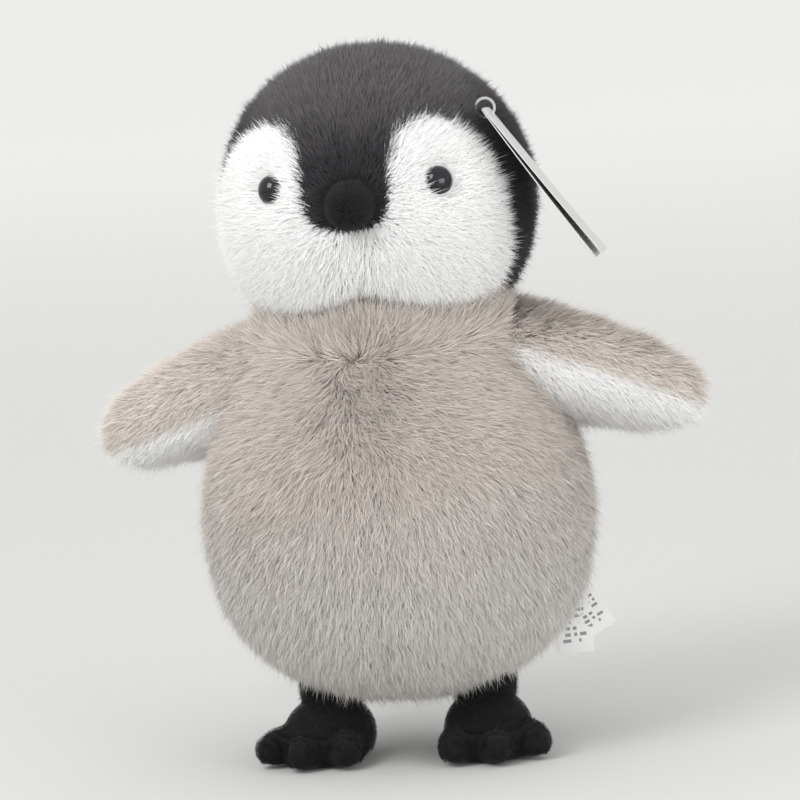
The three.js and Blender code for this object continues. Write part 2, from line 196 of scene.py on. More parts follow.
# ------------------------------------------------------------------ node graphs
class Socket:
    """An output socket that can be used in Python arithmetic."""

    def __init__(self, graph: "Graph", output: bpy.types.NodeSocket) -> None:
        """Wraps one output of a node of the graph."""
        self.graph = graph
        self.output = output

    def _math(self, operation: str, first: object, second: object) -> "Socket":
        """Adds a Math node.

        Args:
            operation: The Math node's operation.
            first: Its first value, a number or a socket.
            second: Its second value.

        Returns:
            The node's result.
        """
        return self.graph.add("ShaderNodeMath", {"operation": operation}, {0: first, 1: second})

    def __add__(self, other: object) -> "Socket":
        """The sum."""
        return self._math("ADD", self, other)

    def __radd__(self, other: object) -> "Socket":
        """The sum, with a number first."""
        return self._math("ADD", other, self)

    def __sub__(self, other: object) -> "Socket":
        """The difference."""
        return self._math("SUBTRACT", self, other)

    def __rsub__(self, other: object) -> "Socket":
        """The difference, with a number first."""
        return self._math("SUBTRACT", other, self)

    def __mul__(self, other: object) -> "Socket":
        """The product."""
        return self._math("MULTIPLY", self, other)

    def __rmul__(self, other: object) -> "Socket":
        """The product, with a number first."""
        return self._math("MULTIPLY", other, self)

    def __truediv__(self, other: object) -> "Socket":
        """The quotient."""
        return self._math("DIVIDE", self, other)

    def __pow__(self, other: object) -> "Socket":
        """The power."""
        return self._math("POWER", self, other)

    def above(self, limit: float) -> "Socket":
        """1 where the value is over the limit, 0 elsewhere."""
        return self._math("GREATER_THAN", self, limit)

    def absolute(self) -> "Socket":
        """The value without its sign."""
        return self._math("ABSOLUTE", self, 0.0)


class Graph:
    """A shader or geometry node tree that is filled in by one method."""

    def __init__(self, tree: bpy.types.NodeTree) -> None:
        """Wraps the tree."""
        self.tree = tree

    def node(
        self, kind: str, settings: dict | None = None, inputs: dict | None = None
    ) -> bpy.types.Node:
        """Adds a node, sets it up and joins its inputs.

        Args:
            kind: The node's type name.
            settings: Its own properties; "stops" sets the stops of a colour ramp.
            inputs: Values or sockets for its inputs, by name or number.

        Returns:
            The new node.
        """
        made = self.tree.nodes.new(kind)
        for name, value in (settings or {}).items():
            if name == "stops":
                self._set_stops(made.color_ramp, value)
            else:
                setattr(made, name, value)
        for key, value in (inputs or {}).items():
            if isinstance(value, Socket):
                self.tree.links.new(value.output, made.inputs[key])
            else:
                made.inputs[key].default_value = value
        return made

    @staticmethod
    def _set_stops(ramp: bpy.types.ColorRamp, stops: Sequence[tuple[float, Colour]]) -> None:
        """Gives a colour ramp its stops, each a place and a colour.

        Args:
            ramp: The ramp.
            stops: Its stops, each a place and a colour.
        """
        while len(ramp.elements) < len(stops):
            ramp.elements.new(1.0)
        for element, (place, colour) in zip(ramp.elements, stops):
            element.position = place
            element.color = (*colour, 1.0)

    def add(
        self,
        kind: str,
        settings: dict | None = None,
        inputs: dict | None = None,
        output: str | int = 0,
    ) -> Socket:
        """Adds a node as node() does and gives one of its outputs as a Socket."""
        return Socket(self, self.node(kind, settings, inputs).outputs[output])

    def mix(self, factor: object, first: object, second: object, blend: str = "MIX") -> Socket:
        """Mixes two colours.

        Args:
            factor: How much of the second colour there is.
            first: A colour or a socket.
            second: A colour or a socket.
            blend: The Mix node's blend type.

        Returns:
            The mixed colour.
        """
        colours = [(*c, 1.0) if isinstance(c, tuple) else c for c in (first, second)]
        settings = {"data_type": "RGBA", "blend_type": blend, "clamp_factor": True}
        inputs = {0: factor, 6: colours[0], 7: colours[1]}
        return self.add("ShaderNodeMix", settings, inputs, 2)

    def ramp(self, value: Socket, low: float, high: float) -> Socket:
        """Rises smoothly from 0 at low to 1 at high.

        Args:
            value: The value to shape.
            low: Where the rise starts.
            high: Where it ends.

        Returns:
            A number from 0 to 1.
        """
        settings = {"interpolation_type": "SMOOTHSTEP"}
        inputs = {"Value": value, "From Min": low, "From Max": high}
        return self.add("ShaderNodeMapRange", settings, inputs)

    def noise(self, scale: float, detail: float = 2.0, vector: Socket | None = None) -> Socket:
        """Noise from 0 to 1; scale is in cells a metre on Object coordinates.

        Args:
            scale: Cells a metre.
            detail: How many finer layers it has.
            vector: Where it is read, or nothing for Object coordinates.

        Returns:
            The result.
        """
        where = vector if vector is not None else self.place()
        return self.add(
            "ShaderNodeTexNoise", None, {"Vector": where, "Scale": scale, "Detail": detail}
        )

    def place(self) -> Socket:
        """The Object coordinates of a shaded point."""
        return self.add("ShaderNodeTexCoord", output="Object")

    def axes(self, vector: Socket) -> tuple[Socket, Socket, Socket]:
        """The three parts of a vector."""
        split = self.node("ShaderNodeSeparateXYZ", None, {0: vector})
        return tuple(Socket(self, out) for out in split.outputs)

    def attribute(self, name: str) -> Socket:
        """A number that the mesh carries under that name."""
        return self.add("ShaderNodeAttribute", {"attribute_name": name}, output="Fac")


def blank_material(name: str) -> tuple[bpy.types.Material, Graph, bpy.types.Node]:
    """Starts a material.

    Args:
        name: The material's name.

    Returns:
        The material, its graph and its Principled node.
    """
    material = bpy.data.materials.new(name)
    material.use_nodes = True
    return material, Graph(material.node_tree), material.node_tree.nodes["Principled BSDF"]


# ------------------------------------------------------------------ finishes
@dataclass(frozen=True)
class FurFinish:
    """The colours of a coat: deep in the pile, darker there as painted shade, at its tips, and where
    it changes over the toy.
    """

    name: str
    root: Colour
    tip: Colour
    second_root: Colour
    second_tip: Colour
    region: Callable[[Graph], Socket]
    spread: float = 0.35
    root_power: float = 1.0
    sheen: float = 0.1

    def make(self) -> bpy.types.Material:
        """Builds the strand material.

        Returns:
            A material that reads the strands' "along" and "shade": each strand's random tone, lowered
            where painted shade is set.
        """
        material, graph, surface = blank_material(self.name)
        along = graph.attribute("along") ** self.root_power
        shade = graph.attribute("shade")
        region = self.region(graph)
        root = graph.mix(region, self.root, self.second_root)
        tip = graph.mix(region, self.tip, self.second_tip)
        # painted shade: each strand darkens from tip to root, standing in for shadow deep in the pile
        strand = graph.mix(along, root, tip)
        # random tone for each strand, lowered where painted shade is stored
        dim = 1.0 - self.spread + shade * self.spread * 1.3
        grey = graph.add("ShaderNodeCombineColor", None, {0: dim, 1: dim, 2: dim})
        tinted = graph.mix(1.0, strand, grey, "MULTIPLY")
        graph.tree.links.new(tinted.output, surface.inputs["Base Color"])
        surface.inputs["Roughness"].default_value = 0.8
        surface.inputs["Specular IOR Level"].default_value = 0.15
        surface.inputs["Sheen Weight"].default_value = self.sheen
        surface.inputs["Sheen Roughness"].default_value = 0.5
        return material


@dataclass(frozen=True)
class ClothFinish:
    """A woven or napped cloth: two tones, the size of its grain and how deep it is."""

    name: str
    dark: Colour
    light: Colour
    grain: float
    bump: float
    roughness: float = 0.9
    sheen: float = 0.3

    def make(self) -> bpy.types.Material:
        """Builds the cloth material.

        Returns:
            A material with a mottled tone, a grain and a fine bump.
        """
        material, graph, surface = blank_material(self.name)
        patches = graph.noise(self.grain / 12.0, 3.0)
        grain = graph.noise(self.grain, 4.0)
        tone = graph.mix(graph.ramp(patches * 0.5 + grain * 0.5, 0.35, 0.65), self.dark, self.light)
        graph.tree.links.new(tone.output, surface.inputs["Base Color"])
        settings = {"Strength": self.bump, "Distance": 0.3 * MM, "Height": grain}
        bumped = graph.add("ShaderNodeBump", None, settings)
        graph.tree.links.new(bumped.output, surface.inputs["Normal"])
        surface.inputs["Roughness"].default_value = self.roughness
        surface.inputs["Specular IOR Level"].default_value = 0.3
        surface.inputs["Sheen Weight"].default_value = self.sheen
        return material


@dataclass(frozen=True)
class PlasticFinish:
    """A moulded plastic with a little unevenness in its gloss."""

    name: str
    colour: Colour
    roughness: float
    coat: float = 0.0
    alpha: float = 1.0

    def make(self) -> bpy.types.Material:
        """Builds the plastic material.

        Returns:
            A material whose colour and roughness vary slightly.
        """
        material, graph, surface = blank_material(self.name)
        wear = graph.noise(900.0, 3.0)
        darker = tuple(channel * 0.8 for channel in self.colour)
        tone = graph.mix(wear, darker, self.colour)
        rough = self.roughness + wear * self.roughness * 0.6
        graph.tree.links.new(tone.output, surface.inputs["Base Color"])
        graph.tree.links.new(rough.output, surface.inputs["Roughness"])
        surface.inputs["Coat Weight"].default_value = self.coat
        surface.inputs["Coat Roughness"].default_value = 0.03
        surface.inputs["Alpha"].default_value = self.alpha
        return material


@dataclass(frozen=True)
class PrintFinish:
    """Printed card or ribbon: plain dashes in rows on one face, another colour behind."""

    name: str
    ground: Colour
    ink: Colour
    back: Colour
    pitch: float
    roughness: float
    sheen: float = 0.0

    def make(self) -> bpy.types.Material:
        """Builds the printed material.

        Returns:
            A material that reads the sheet's "across", "along" and "front".
        """
        material, graph, surface = blank_material(self.name)
        across, along = graph.attribute("across"), graph.attribute("along")
        row = along / self.pitch
        line = graph.add("ShaderNodeMath", {"operation": "FLOOR"}, {0: row})
        on_row = (row - line).above(0.45)
        where = {0: across / self.pitch, 1: line * 7.31, 2: 0.0}
        place = graph.add("ShaderNodeCombineXYZ", None, where)
        dash = graph.noise(0.9, 0.0, place).above(0.5)
        window = (0.34 - across.absolute()).above(0.0) * (along - 0.35).above(0.0)
        window = window * (0.88 - along).above(0.0)
        printed = graph.mix(on_row * dash * window, self.ground, self.ink)
        tone = graph.mix(graph.attribute("front"), self.back, printed)
        graph.tree.links.new(tone.output, surface.inputs["Base Color"])
        weave = graph.noise(2600.0, 2.0)
        rough = self.roughness + weave * 0.12
        graph.tree.links.new(rough.output, surface.inputs["Roughness"])
        surface.inputs["Sheen Weight"].default_value = self.sheen
        return material


def taupe_region(graph: Graph) -> Socket:
    """0 on the warm upper coat, 1 on the cooler lower belly.

    Args:
        graph: The material's graph.

    Returns:
        How much of the second colours there is.
    """
    _, _, height = graph.axes(graph.place())
    patches = graph.noise(28.0, 2.0)
    return 1.0 - graph.ramp(height + patches * 0.06, 0.09, 0.20)


def hood_region(graph: Graph) -> Socket:
    """0 on the grey crown, 1 on the black near the beak and behind the cheeks.

    Args:
        graph: The material's graph.

    Returns:
        How much of the second colours there is.
    """
    side, depth, height = graph.axes(graph.place())
    patches = graph.noise(60.0, 2.0) * 0.02
    low = 1.0 - graph.ramp(height + patches, 0.308, 0.346)
    back = graph.ramp(depth, -0.01, 0.05)
    flank = graph.ramp(side.absolute() + patches, 0.052, 0.078)
    darkest = graph.add("ShaderNodeMath", {"operation": "MAXIMUM"}, {0: low, 1: back * 0.6})
    return graph.add("ShaderNodeMath", {"operation": "MAXIMUM"}, {0: darkest, 1: flank})


def even_region(graph: Graph) -> Socket:
    """Soft patches from 0 to 1 all over."""
    return graph.ramp(graph.noise(45.0, 2.0), 0.3, 0.7)


class Finish(Enum):
    """The toy's finishes, each with the recipe of its material."""

    # each fur's root colours are darker than its tips as painted shade deep in the pile
    TAUPE_FUR = FurFinish(
        "taupe_fur", (0.31, 0.26, 0.23), (0.80, 0.735, 0.68),
        (0.34, 0.32, 0.30), (0.79, 0.765, 0.735), taupe_region,
    )
    # painted light: a lighter copy of the taupe fur for the wings' outer panels, which catch less
    # light than the torso
    WING_FUR = FurFinish(
        "wing_fur", (0.52, 0.44, 0.38), (0.92, 0.85, 0.785),
        (0.50, 0.43, 0.38), (0.88, 0.815, 0.76), even_region,
    )
    CHARCOAL_FUR = FurFinish(
        "charcoal_fur", (0.018, 0.017, 0.019), (0.16, 0.153, 0.158),
        (0.007, 0.007, 0.008), (0.062, 0.058, 0.063), hood_region, 0.5,
    )
    WHITE_FUR = FurFinish(
        "white_fur", (0.91, 0.91, 0.915), (0.97, 0.97, 0.97),
        (0.90, 0.90, 0.90), (0.975, 0.975, 0.97), even_region, 0.04,
    )
    BLACK_FUR = FurFinish(
        "black_fur", (0.003, 0.003, 0.004), (0.020, 0.019, 0.021),
        (0.003, 0.003, 0.004), (0.028, 0.027, 0.029), even_region, 0.6,
    )
    BEAK_FUR = FurFinish(
        "beak_fur", (0.003, 0.003, 0.004), (0.026, 0.025, 0.027),
        (0.003, 0.003, 0.004), (0.036, 0.034, 0.037), even_region, 0.7,
    )
    NAP = FurFinish(
        "velour_nap", (0.004, 0.004, 0.005), (0.013, 0.013, 0.016),
        (0.004, 0.004, 0.005), (0.017, 0.017, 0.020), even_region, 0.4,
    )
    TAUPE_BACKING = ClothFinish(
        "taupe_backing", (0.34, 0.295, 0.265), (0.44, 0.385, 0.35), 900.0, 0.5
    )
    CHARCOAL_BACKING = ClothFinish(
        "charcoal_backing", (0.008, 0.008, 0.009), (0.02, 0.02, 0.021), 900.0, 0.5
    )
    WHITE_BACKING = ClothFinish(
        "white_backing", (0.55, 0.55, 0.56), (0.68, 0.68, 0.68), 900.0, 0.5
    )
    VELOUR = ClothFinish(
        "black_velour", (0.006, 0.006, 0.0075), (0.012, 0.012, 0.014), 2600.0, 0.8, 0.85, 0.05
    )
    FILLING = ClothFinish("fibre_fill", (0.70, 0.70, 0.68), (0.85, 0.85, 0.83), 700.0, 0.8)
    EYE = PlasticFinish("eye_gloss", (0.004, 0.004, 0.005), 0.06, 1.0)
    NYLON = PlasticFinish("clear_nylon", (0.80, 0.80, 0.78), 0.25, alpha=0.45)
    CARD = PrintFinish(
        "tag_card", (0.52, 0.52, 0.51), (0.12, 0.12, 0.12), (0.012, 0.012, 0.013), 0.045, 0.35
    )
    SATIN = PrintFinish(
        "satin_ribbon", (0.90, 0.90, 0.895), (0.30, 0.30, 0.31), (0.86, 0.86, 0.855),
        0.085, 0.4, 0.3,
    )

    def material(self) -> bpy.types.Material:
        """The finish's material, made once."""
        return bpy.data.materials.get(self.value.name) or self.value.make()


# ------------------------------------------------------------------ meshes and pieces
def mesh_object(
    name: str, vertices: np.ndarray, faces: Sequence[Sequence[int]], rounded_look: bool = True
) -> bpy.types.Object:
    """Makes a mesh object at the origin.

    Args:
        name: The object's name.
        vertices: Rows of three numbers, in metres.
        faces: Corner numbers of each face.
        rounded_look: Whether its faces are shaded smooth.

    Returns:
        The object, in the scene.
    """
    mesh = bpy.data.meshes.new(name)
    mesh.from_pydata(np.asarray(vertices).tolist(), [], [list(face) for face in faces])
    mesh.validate()
    mesh.polygons.foreach_set("use_smooth", [rounded_look] * len(mesh.polygons))
    made = bpy.data.objects.new(name, mesh)
    bpy.context.scene.collection.objects.link(made)
    return made


def positions(obj: bpy.types.Object) -> np.ndarray:
    """The object's vertices.

    Args:
        obj: A mesh object.

    Returns:
        Rows of three numbers.
    """
    found = np.empty(len(obj.data.vertices) * 3)
    obj.data.vertices.foreach_get("co", found)
    return found.reshape(-1, 3)


def normals(obj: bpy.types.Object) -> np.ndarray:
    """The object's vertex normals.

    Args:
        obj: A mesh object.

    Returns:
        Rows of three numbers.
    """
    found = np.empty(len(obj.data.vertices) * 3)
    obj.data.vertex_normals.foreach_get("vector", found)
    return found.reshape(-1, 3)


def move_to(obj: bpy.types.Object, points: np.ndarray) -> None:
    """Gives the object's vertices new places."""
    obj.data.vertices.foreach_set("co", points.ravel())
    obj.data.update()


def store(obj: bpy.types.Object, name: str, values: Sequence[float]) -> None:
    """Stores one number on each vertex, under a name."""
    layer = obj.data.attributes.new(name, "FLOAT", "POINT")
    layer.data.foreach_set("value", values)


def shade_smooth(obj: bpy.types.Object) -> None:
    """Shades every face of the object smooth."""
    obj.data.polygons.foreach_set("use_smooth", [True] * len(obj.data.polygons))


def line_in_two(skin: bpy.types.Object, finishes: Sequence["Finish"], second: "Field") -> None:
    """Gives a skin two finishes, the second one where a field of position is positive.

    Args:
        skin: The skin.
        finishes: The first and the second finish.
        second: The field of position.
    """
    skin.data.materials.clear()
    for finish in finishes:
        skin.data.materials.append(finish.material())
    centres = np.empty(len(skin.data.polygons) * 3)
    skin.data.polygons.foreach_get("center", centres)
    chosen = second(centres.reshape(-1, 3)) > 0.0
    skin.data.polygons.foreach_set("material_index", chosen.astype(np.int32))


def applied(obj: bpy.types.Object) -> bpy.types.Object:
    """Turns an object's modifiers into its plain mesh.

    Args:
        obj: The object.

    Returns:
        The same object, with no modifiers left.
    """
    graph = bpy.context.evaluated_depsgraph_get()
    mesh = bpy.data.meshes.new_from_object(obj.evaluated_get(graph), depsgraph=graph)
    mesh.name = obj.name
    obj.modifiers.clear()
    obj.data = mesh
    return obj


def lathe(
    name: str, profile: np.ndarray, around: int, depth_ratio: float = 1.0
) -> bpy.types.Object:
    """A closed body turned about Z, with a pole at each end.

    Args:
        name: The object's name.
        profile: Rows of radius and height, from the bottom pole to the top one.
        around: How many corners each ring has.
        depth_ratio: How far it is flattened front to back.

    Returns:
        The object.
    """
    angles = np.linspace(0.0, 2.0 * math.pi, around, endpoint=False)
    ring = np.stack([np.cos(angles), np.sin(angles) * depth_ratio], axis=1)
    inner = profile[1:-1]
    points = [(0.0, 0.0, profile[0, 1])]
    for radius, height in inner:
        points += [(x * radius, y * radius, height) for x, y in ring]
    points.append((0.0, 0.0, profile[-1, 1]))
    last = len(points) - 1
    faces = []
    for k in range(around):
        after = (k + 1) % around
        faces.append((0, 1 + after, 1 + k))
        for row in range(len(inner) - 1):
            low, high = 1 + row * around, 1 + (row + 1) * around
            faces.append((low + k, low + after, high + after, high + k))
        top = 1 + (len(inner) - 1) * around
        faces.append((last, top + k, top + after))
    return mesh_object(name, np.array(points), faces)


def ball(name: str, radius: float, centre: Sequence[float], cuts: int = 4) -> bpy.types.Object:
    """A closed ball of even triangles.

    Args:
        name: The object's name.
        radius: The ball's radius.
        centre: Its middle.
        cuts: How finely it is divided.

    Returns:
        The object.
    """
    mesh = bmesh.new()
    bmesh.ops.create_icosphere(mesh, subdivisions=cuts, radius=radius)
    bmesh.ops.translate(mesh, verts=mesh.verts, vec=centre)
    made = mesh_object(name, np.zeros((0, 3)), [])
    mesh.to_mesh(made.data)
    mesh.free()
    shade_smooth(made)
    return made


@dataclass(frozen=True)
class Stuffing:
    """How a skin is stuffed: the cloth's mesh size, the pressure and how far it may swell."""

    voxel: float
    swell: float
    pressure: float = 4.0
    frames: int = 20

    def fill(self, skin: bpy.types.Object) -> bpy.types.Object:
        """Remeshes a closed skin and puffs it up with a short cloth simulation.

        Args:
            skin: The closed skin, a little smaller than it will be.

        Returns:
            The same object, swollen, with one subdivision.
        """
        remesh = skin.modifiers.new("cells", "REMESH")
        remesh.mode = "VOXEL"
        remesh.voxel_size = self.voxel
        applied(skin)
        start = positions(skin)
        self._simulate(skin)
        shift = positions(skin) - start
        far = np.linalg.norm(shift, axis=1, keepdims=True)
        move_to(skin, start + shift * np.minimum(1.0, self.swell / np.maximum(far, 1e-9)))
        finer = skin.modifiers.new("finer", "SUBSURF")
        finer.levels = finer.render_levels = 1
        applied(skin)
        shade_smooth(skin)
        return skin

    def _simulate(self, skin: bpy.types.Object) -> None:
        """Runs the cloth for a few frames and keeps its last shape.

        Args:
            skin: The skin.
        """
        scene = bpy.context.scene
        cloth = skin.modifiers.new("cloth", "CLOTH")
        cloth.settings.use_pressure = True
        cloth.settings.uniform_pressure_force = self.pressure
        cloth.settings.effector_weights.gravity = 0.0
        cloth.settings.quality = 5
        cloth.point_cache.frame_start = 1
        cloth.point_cache.frame_end = self.frames
        for number in range(1, self.frames + 1):
            scene.frame_set(number)
        applied(skin)
        scene.frame_set(1)


@dataclass(frozen=True)
class Bend:
    """Fabric that crosses a joint: the body it starts on and two points round the joint; a piece with
    one is baked in place, not bent.
    """

    parent: str
    start: Vector
    end: Vector


@dataclass(frozen=True)
class Piece:
    """What a finished piece belongs to in the frame."""

    body: str
    slot: str
    nodes: tuple[str, ...] = ()
    fill: float | None = None
    bend: Bend | None = None

    def settle(self, obj: bpy.types.Object, finish: Finish | None = None) -> bpy.types.Object:
        """Dresses a piece, parents it to its body's empty or bakes it in place if it crosses a joint,
        and hides the CAD nodes it replaces.

        Args:
            obj: The finished object.
            finish: Its finish, if its materials aren't set already.

        Returns:
            The same object.
        """
        if finish is not None:
            obj.data.materials.clear()
            obj.data.materials.append(finish.material())
        if self.bend:
            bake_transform(obj)
        else:
            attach(obj, self.body)
        if self.nodes:
            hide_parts(*self.nodes)
        LOG.info("%s: %d vertices on %s", obj.name, len(obj.data.vertices), self.body)
        return obj


# ------------------------------------------------------------------ fur
@dataclass(frozen=True)
class Coat:
    """A coat of fur: strands a square metre, and the length, width and lie of each strand."""

    finish: Finish
    density: float
    length: float
    width: float
    lift: float = 0.0
    lift_jitter: float = 16.0
    yaw_jitter: float = 26.0
    lock: float = 14.0
    lock_size: float = 0.008
    guard: float = 0.35
    softness: float = 0.65

    def grow(self, name: str, skin: bpy.types.Object, lie: "Lie", seed: int) -> bpy.types.Object:
        """Grows the coat on part of a skin.

        Args:
            name: The new piece's name.
            skin: The skin; it stays as it is.
            lie: Where the coat grows and which way its nap runs.
            seed: The seed of everything random.

        Returns:
            The strands as one plain mesh.
        """
        bed = bpy.data.objects.new(name, skin.data.copy())
        bpy.context.scene.collection.objects.link(bed)
        lie.mark(bed)
        modifier = bed.modifiers.new("coat", "NODES")
        modifier.node_group = fur_tree()
        sockets = {
            item.name: item.identifier
            for item in modifier.node_group.interface.items_tree
            if item.item_type == "SOCKET" and item.in_out == "INPUT"
        }
        thin = 1.0
        values = {
            "Strand": strand_object(),
            "Density": self.density * thin,
            "Length": self.length,
            "Width": self.width * 1.0,
            "Lift": math.radians(self.lift),
            "Lift Jitter": math.radians(self.lift_jitter),
            "Yaw Jitter": math.radians(self.yaw_jitter),
            "Lock": math.radians(self.lock),
            "Lock Scale": 1.0 / self.lock_size,
            "Guard": self.guard,
            "Softness": self.softness,
            "Seed": seed,
            "Material": self.finish.material(),
        }
        for label, value in values.items():
            modifier[sockets[label]] = value
        applied(bed)
        for name in ("nap", "out", "inside", "grow", "dark", "rise"):
            layer = bed.data.attributes.get(name)
            if layer:
                bed.data.attributes.remove(layer)
        return bed


@dataclass(frozen=True)
class Lie:
    """Where a coat grows, how long it is there and which way it runs, as fields of position."""

    inside: Field
    nap: Field
    grow: Field | None = None
    # dark: painted shade, how far the strands' colour is darkened at each place
    dark: Field | None = None
    rise: Field | None = None

    def mark(self, bed: bpy.types.Object) -> None:
        """Stores the fields on a bed's vertices.

        Args:
            bed: The copy of the skin that the strands grow on.
        """
        points = positions(bed)
        out = normals(bed)
        grow = self.grow(points) if self.grow else np.ones(len(points))
        none = np.zeros(len(points))
        dark = self.dark(points) if self.dark else none
        rise = self.rise(points) if self.rise else none
        vectors = {"nap": along_surface(self.nap(points), out), "out": out}
        for name, value in vectors.items():
            layer = bed.data.attributes.new(name, "FLOAT_VECTOR", "POINT")
            layer.data.foreach_set("vector", value.ravel())
        numbers = {"inside": self.inside(points), "grow": grow, "dark": dark, "rise": rise}
        for name, value in numbers.items():
            store(bed, name, value.ravel())


def strand_object() -> bpy.types.Object:
    """One strand of unit length and width: two triangles that rise from the root and lie down."""
    found = bpy.data.objects.get("strand_shape")
    if found:
        return found
    points = [(0.0, 0.0, 0.0), (-0.5, 0.30, 0.48), (0.5, 0.30, 0.48), (0.0, 0.85, 0.72)]
    made = mesh_object("strand_shape", np.array(points), [(0, 2, 1), (1, 2, 3)])
    store(made, "along", [0.0, 0.55, 0.55, 1.0])
    bpy.context.scene.collection.objects.unlink(made)
    return made


def fur_tree() -> bpy.types.NodeTree:
    """The Geometry Nodes tree that grows strands on a bed, made once."""
    found = bpy.data.node_groups.get("fur")
    if found:
        return found
    tree = bpy.data.node_groups.new("fur", "GeometryNodeTree")
    face = tree.interface
    face.new_socket("Geometry", in_out="INPUT", socket_type="NodeSocketGeometry")
    face.new_socket("Strand", in_out="INPUT", socket_type="NodeSocketObject")
    numbers = (
        "Density", "Length", "Width", "Lift", "Lift Jitter", "Yaw Jitter",
        "Lock", "Lock Scale", "Guard", "Softness",
    )
    for name in numbers:
        face.new_socket(name, in_out="INPUT", socket_type="NodeSocketFloat")
    face.new_socket("Seed", in_out="INPUT", socket_type="NodeSocketInt")
    face.new_socket("Material", in_out="INPUT", socket_type="NodeSocketMaterial")
    face.new_socket("Geometry", in_out="OUTPUT", socket_type="NodeSocketGeometry")
    graph = Graph(tree)
    given = graph.node("NodeGroupInput")
    want = {out.name: Socket(graph, out) for out in given.outputs if out.name}

    def carried(name: str, kind: str = "FLOAT") -> Socket:
        """A named attribute of the bed."""
        return graph.add("GeometryNodeInputNamedAttribute", {"data_type": kind}, {"Name": name})

    def chance(low: float, high: float, offset: int) -> Socket:
        """A random number for each strand.

        Args:
            low: The lowest number.
            high: The highest number.
            offset: What is added to the seed.

        Returns:
            The result.
        """
        seed = want["Seed"] + float(offset)
        return graph.add(
            "FunctionNodeRandomValue", {"data_type": "FLOAT"}, {2: low, 3: high, 8: seed}, 1
        )

    points = graph.add(
        "GeometryNodeDistributePointsOnFaces",
        {"distribute_method": "RANDOM"},
        {"Mesh": want["Geometry"], "Density": want["Density"], "Seed": want["Seed"]},
    )
    base = graph.add(
        "FunctionNodeAxesToRotation",
        {"primary_axis": "Z", "secondary_axis": "Y"},
        {0: carried("out", "FLOAT_VECTOR"), 1: carried("nap", "FLOAT_VECTOR")},
    )
    where = graph.add("GeometryNodeInputPosition")
    locks = graph.add(
        "ShaderNodeTexNoise",
        None,
        {"Vector": where, "Scale": want["Lock Scale"], "Detail": 2.0},
        "Color",
    )
    lock_yaw, lock_lift, _ = graph.axes(locks)
    yaw = (lock_yaw - 0.5) * want["Lock"] * 4.0 + chance(-1.0, 1.0, 11) * want["Yaw Jitter"]
    guard = chance(0.0, 1.0, 12).above(0.96) * want["Guard"]
    tilt = want["Lift"] + carried("rise") + chance(-1.0, 1.0, 13) * want["Lift Jitter"]
    tilt = tilt + (lock_lift - 0.5) * want["Lock"] * 1.6 + guard
    roll = chance(-0.5, 0.5, 14)
    turn = graph.add("ShaderNodeCombineXYZ", None, {0: tilt, 1: roll, 2: yaw})
    swing = graph.add("FunctionNodeEulerToRotation", None, {0: turn})
    rotation = graph.add(
        "FunctionNodeRotateRotation", {"rotation_space": "LOCAL"}, {0: base, 1: swing}
    )
    length = want["Length"] * carried("grow") * (chance(0.75, 1.12, 15) + guard * 0.7)
    scale = graph.add("ShaderNodeCombineXYZ", None, {0: want["Width"], 1: length, 2: length})
    shape = graph.add(
        "GeometryNodeObjectInfo", {"transform_space": "ORIGINAL"}, {0: want["Strand"]}, "Geometry"
    )
    strands = graph.add(
        "GeometryNodeInstanceOnPoints",
        None,
        {
            "Points": points,
            "Selection": carried("inside").above(0.0),
            "Instance": shape,
            "Rotation": rotation,
            "Scale": scale,
        },
    )
    # each strand's random tone, lowered by dark as painted shade
    shade = chance(0.0, 1.0, 16) * (1.0 - carried("dark"))
    shaded = graph.add(
        "GeometryNodeStoreNamedAttribute",
        {"data_type": "FLOAT", "domain": "INSTANCE"},
        {"Geometry": strands, "Name": "shade", "Value": shade},
    )
    real = graph.add("GeometryNodeRealizeInstances", None, {0: shaded})
    own = graph.add("GeometryNodeInputNormal", None, None, "Normal")
    blend = {"data_type": "VECTOR"}
    sides = {0: want["Softness"], 4: own, 5: carried("out", "FLOAT_VECTOR")}
    lean = graph.add("ShaderNodeMix", blend, sides, 1)
    softened = graph.add(
        "GeometryNodeSetMeshNormal", {"mode": "FREE"}, {"Mesh": real, "Custom Normal": lean}
    )
    done = graph.add(
        "GeometryNodeSetMaterial", None, {"Geometry": softened, "Material": want["Material"]}
    )
    graph.node("NodeGroupOutput", None, {0: done})
    return tree


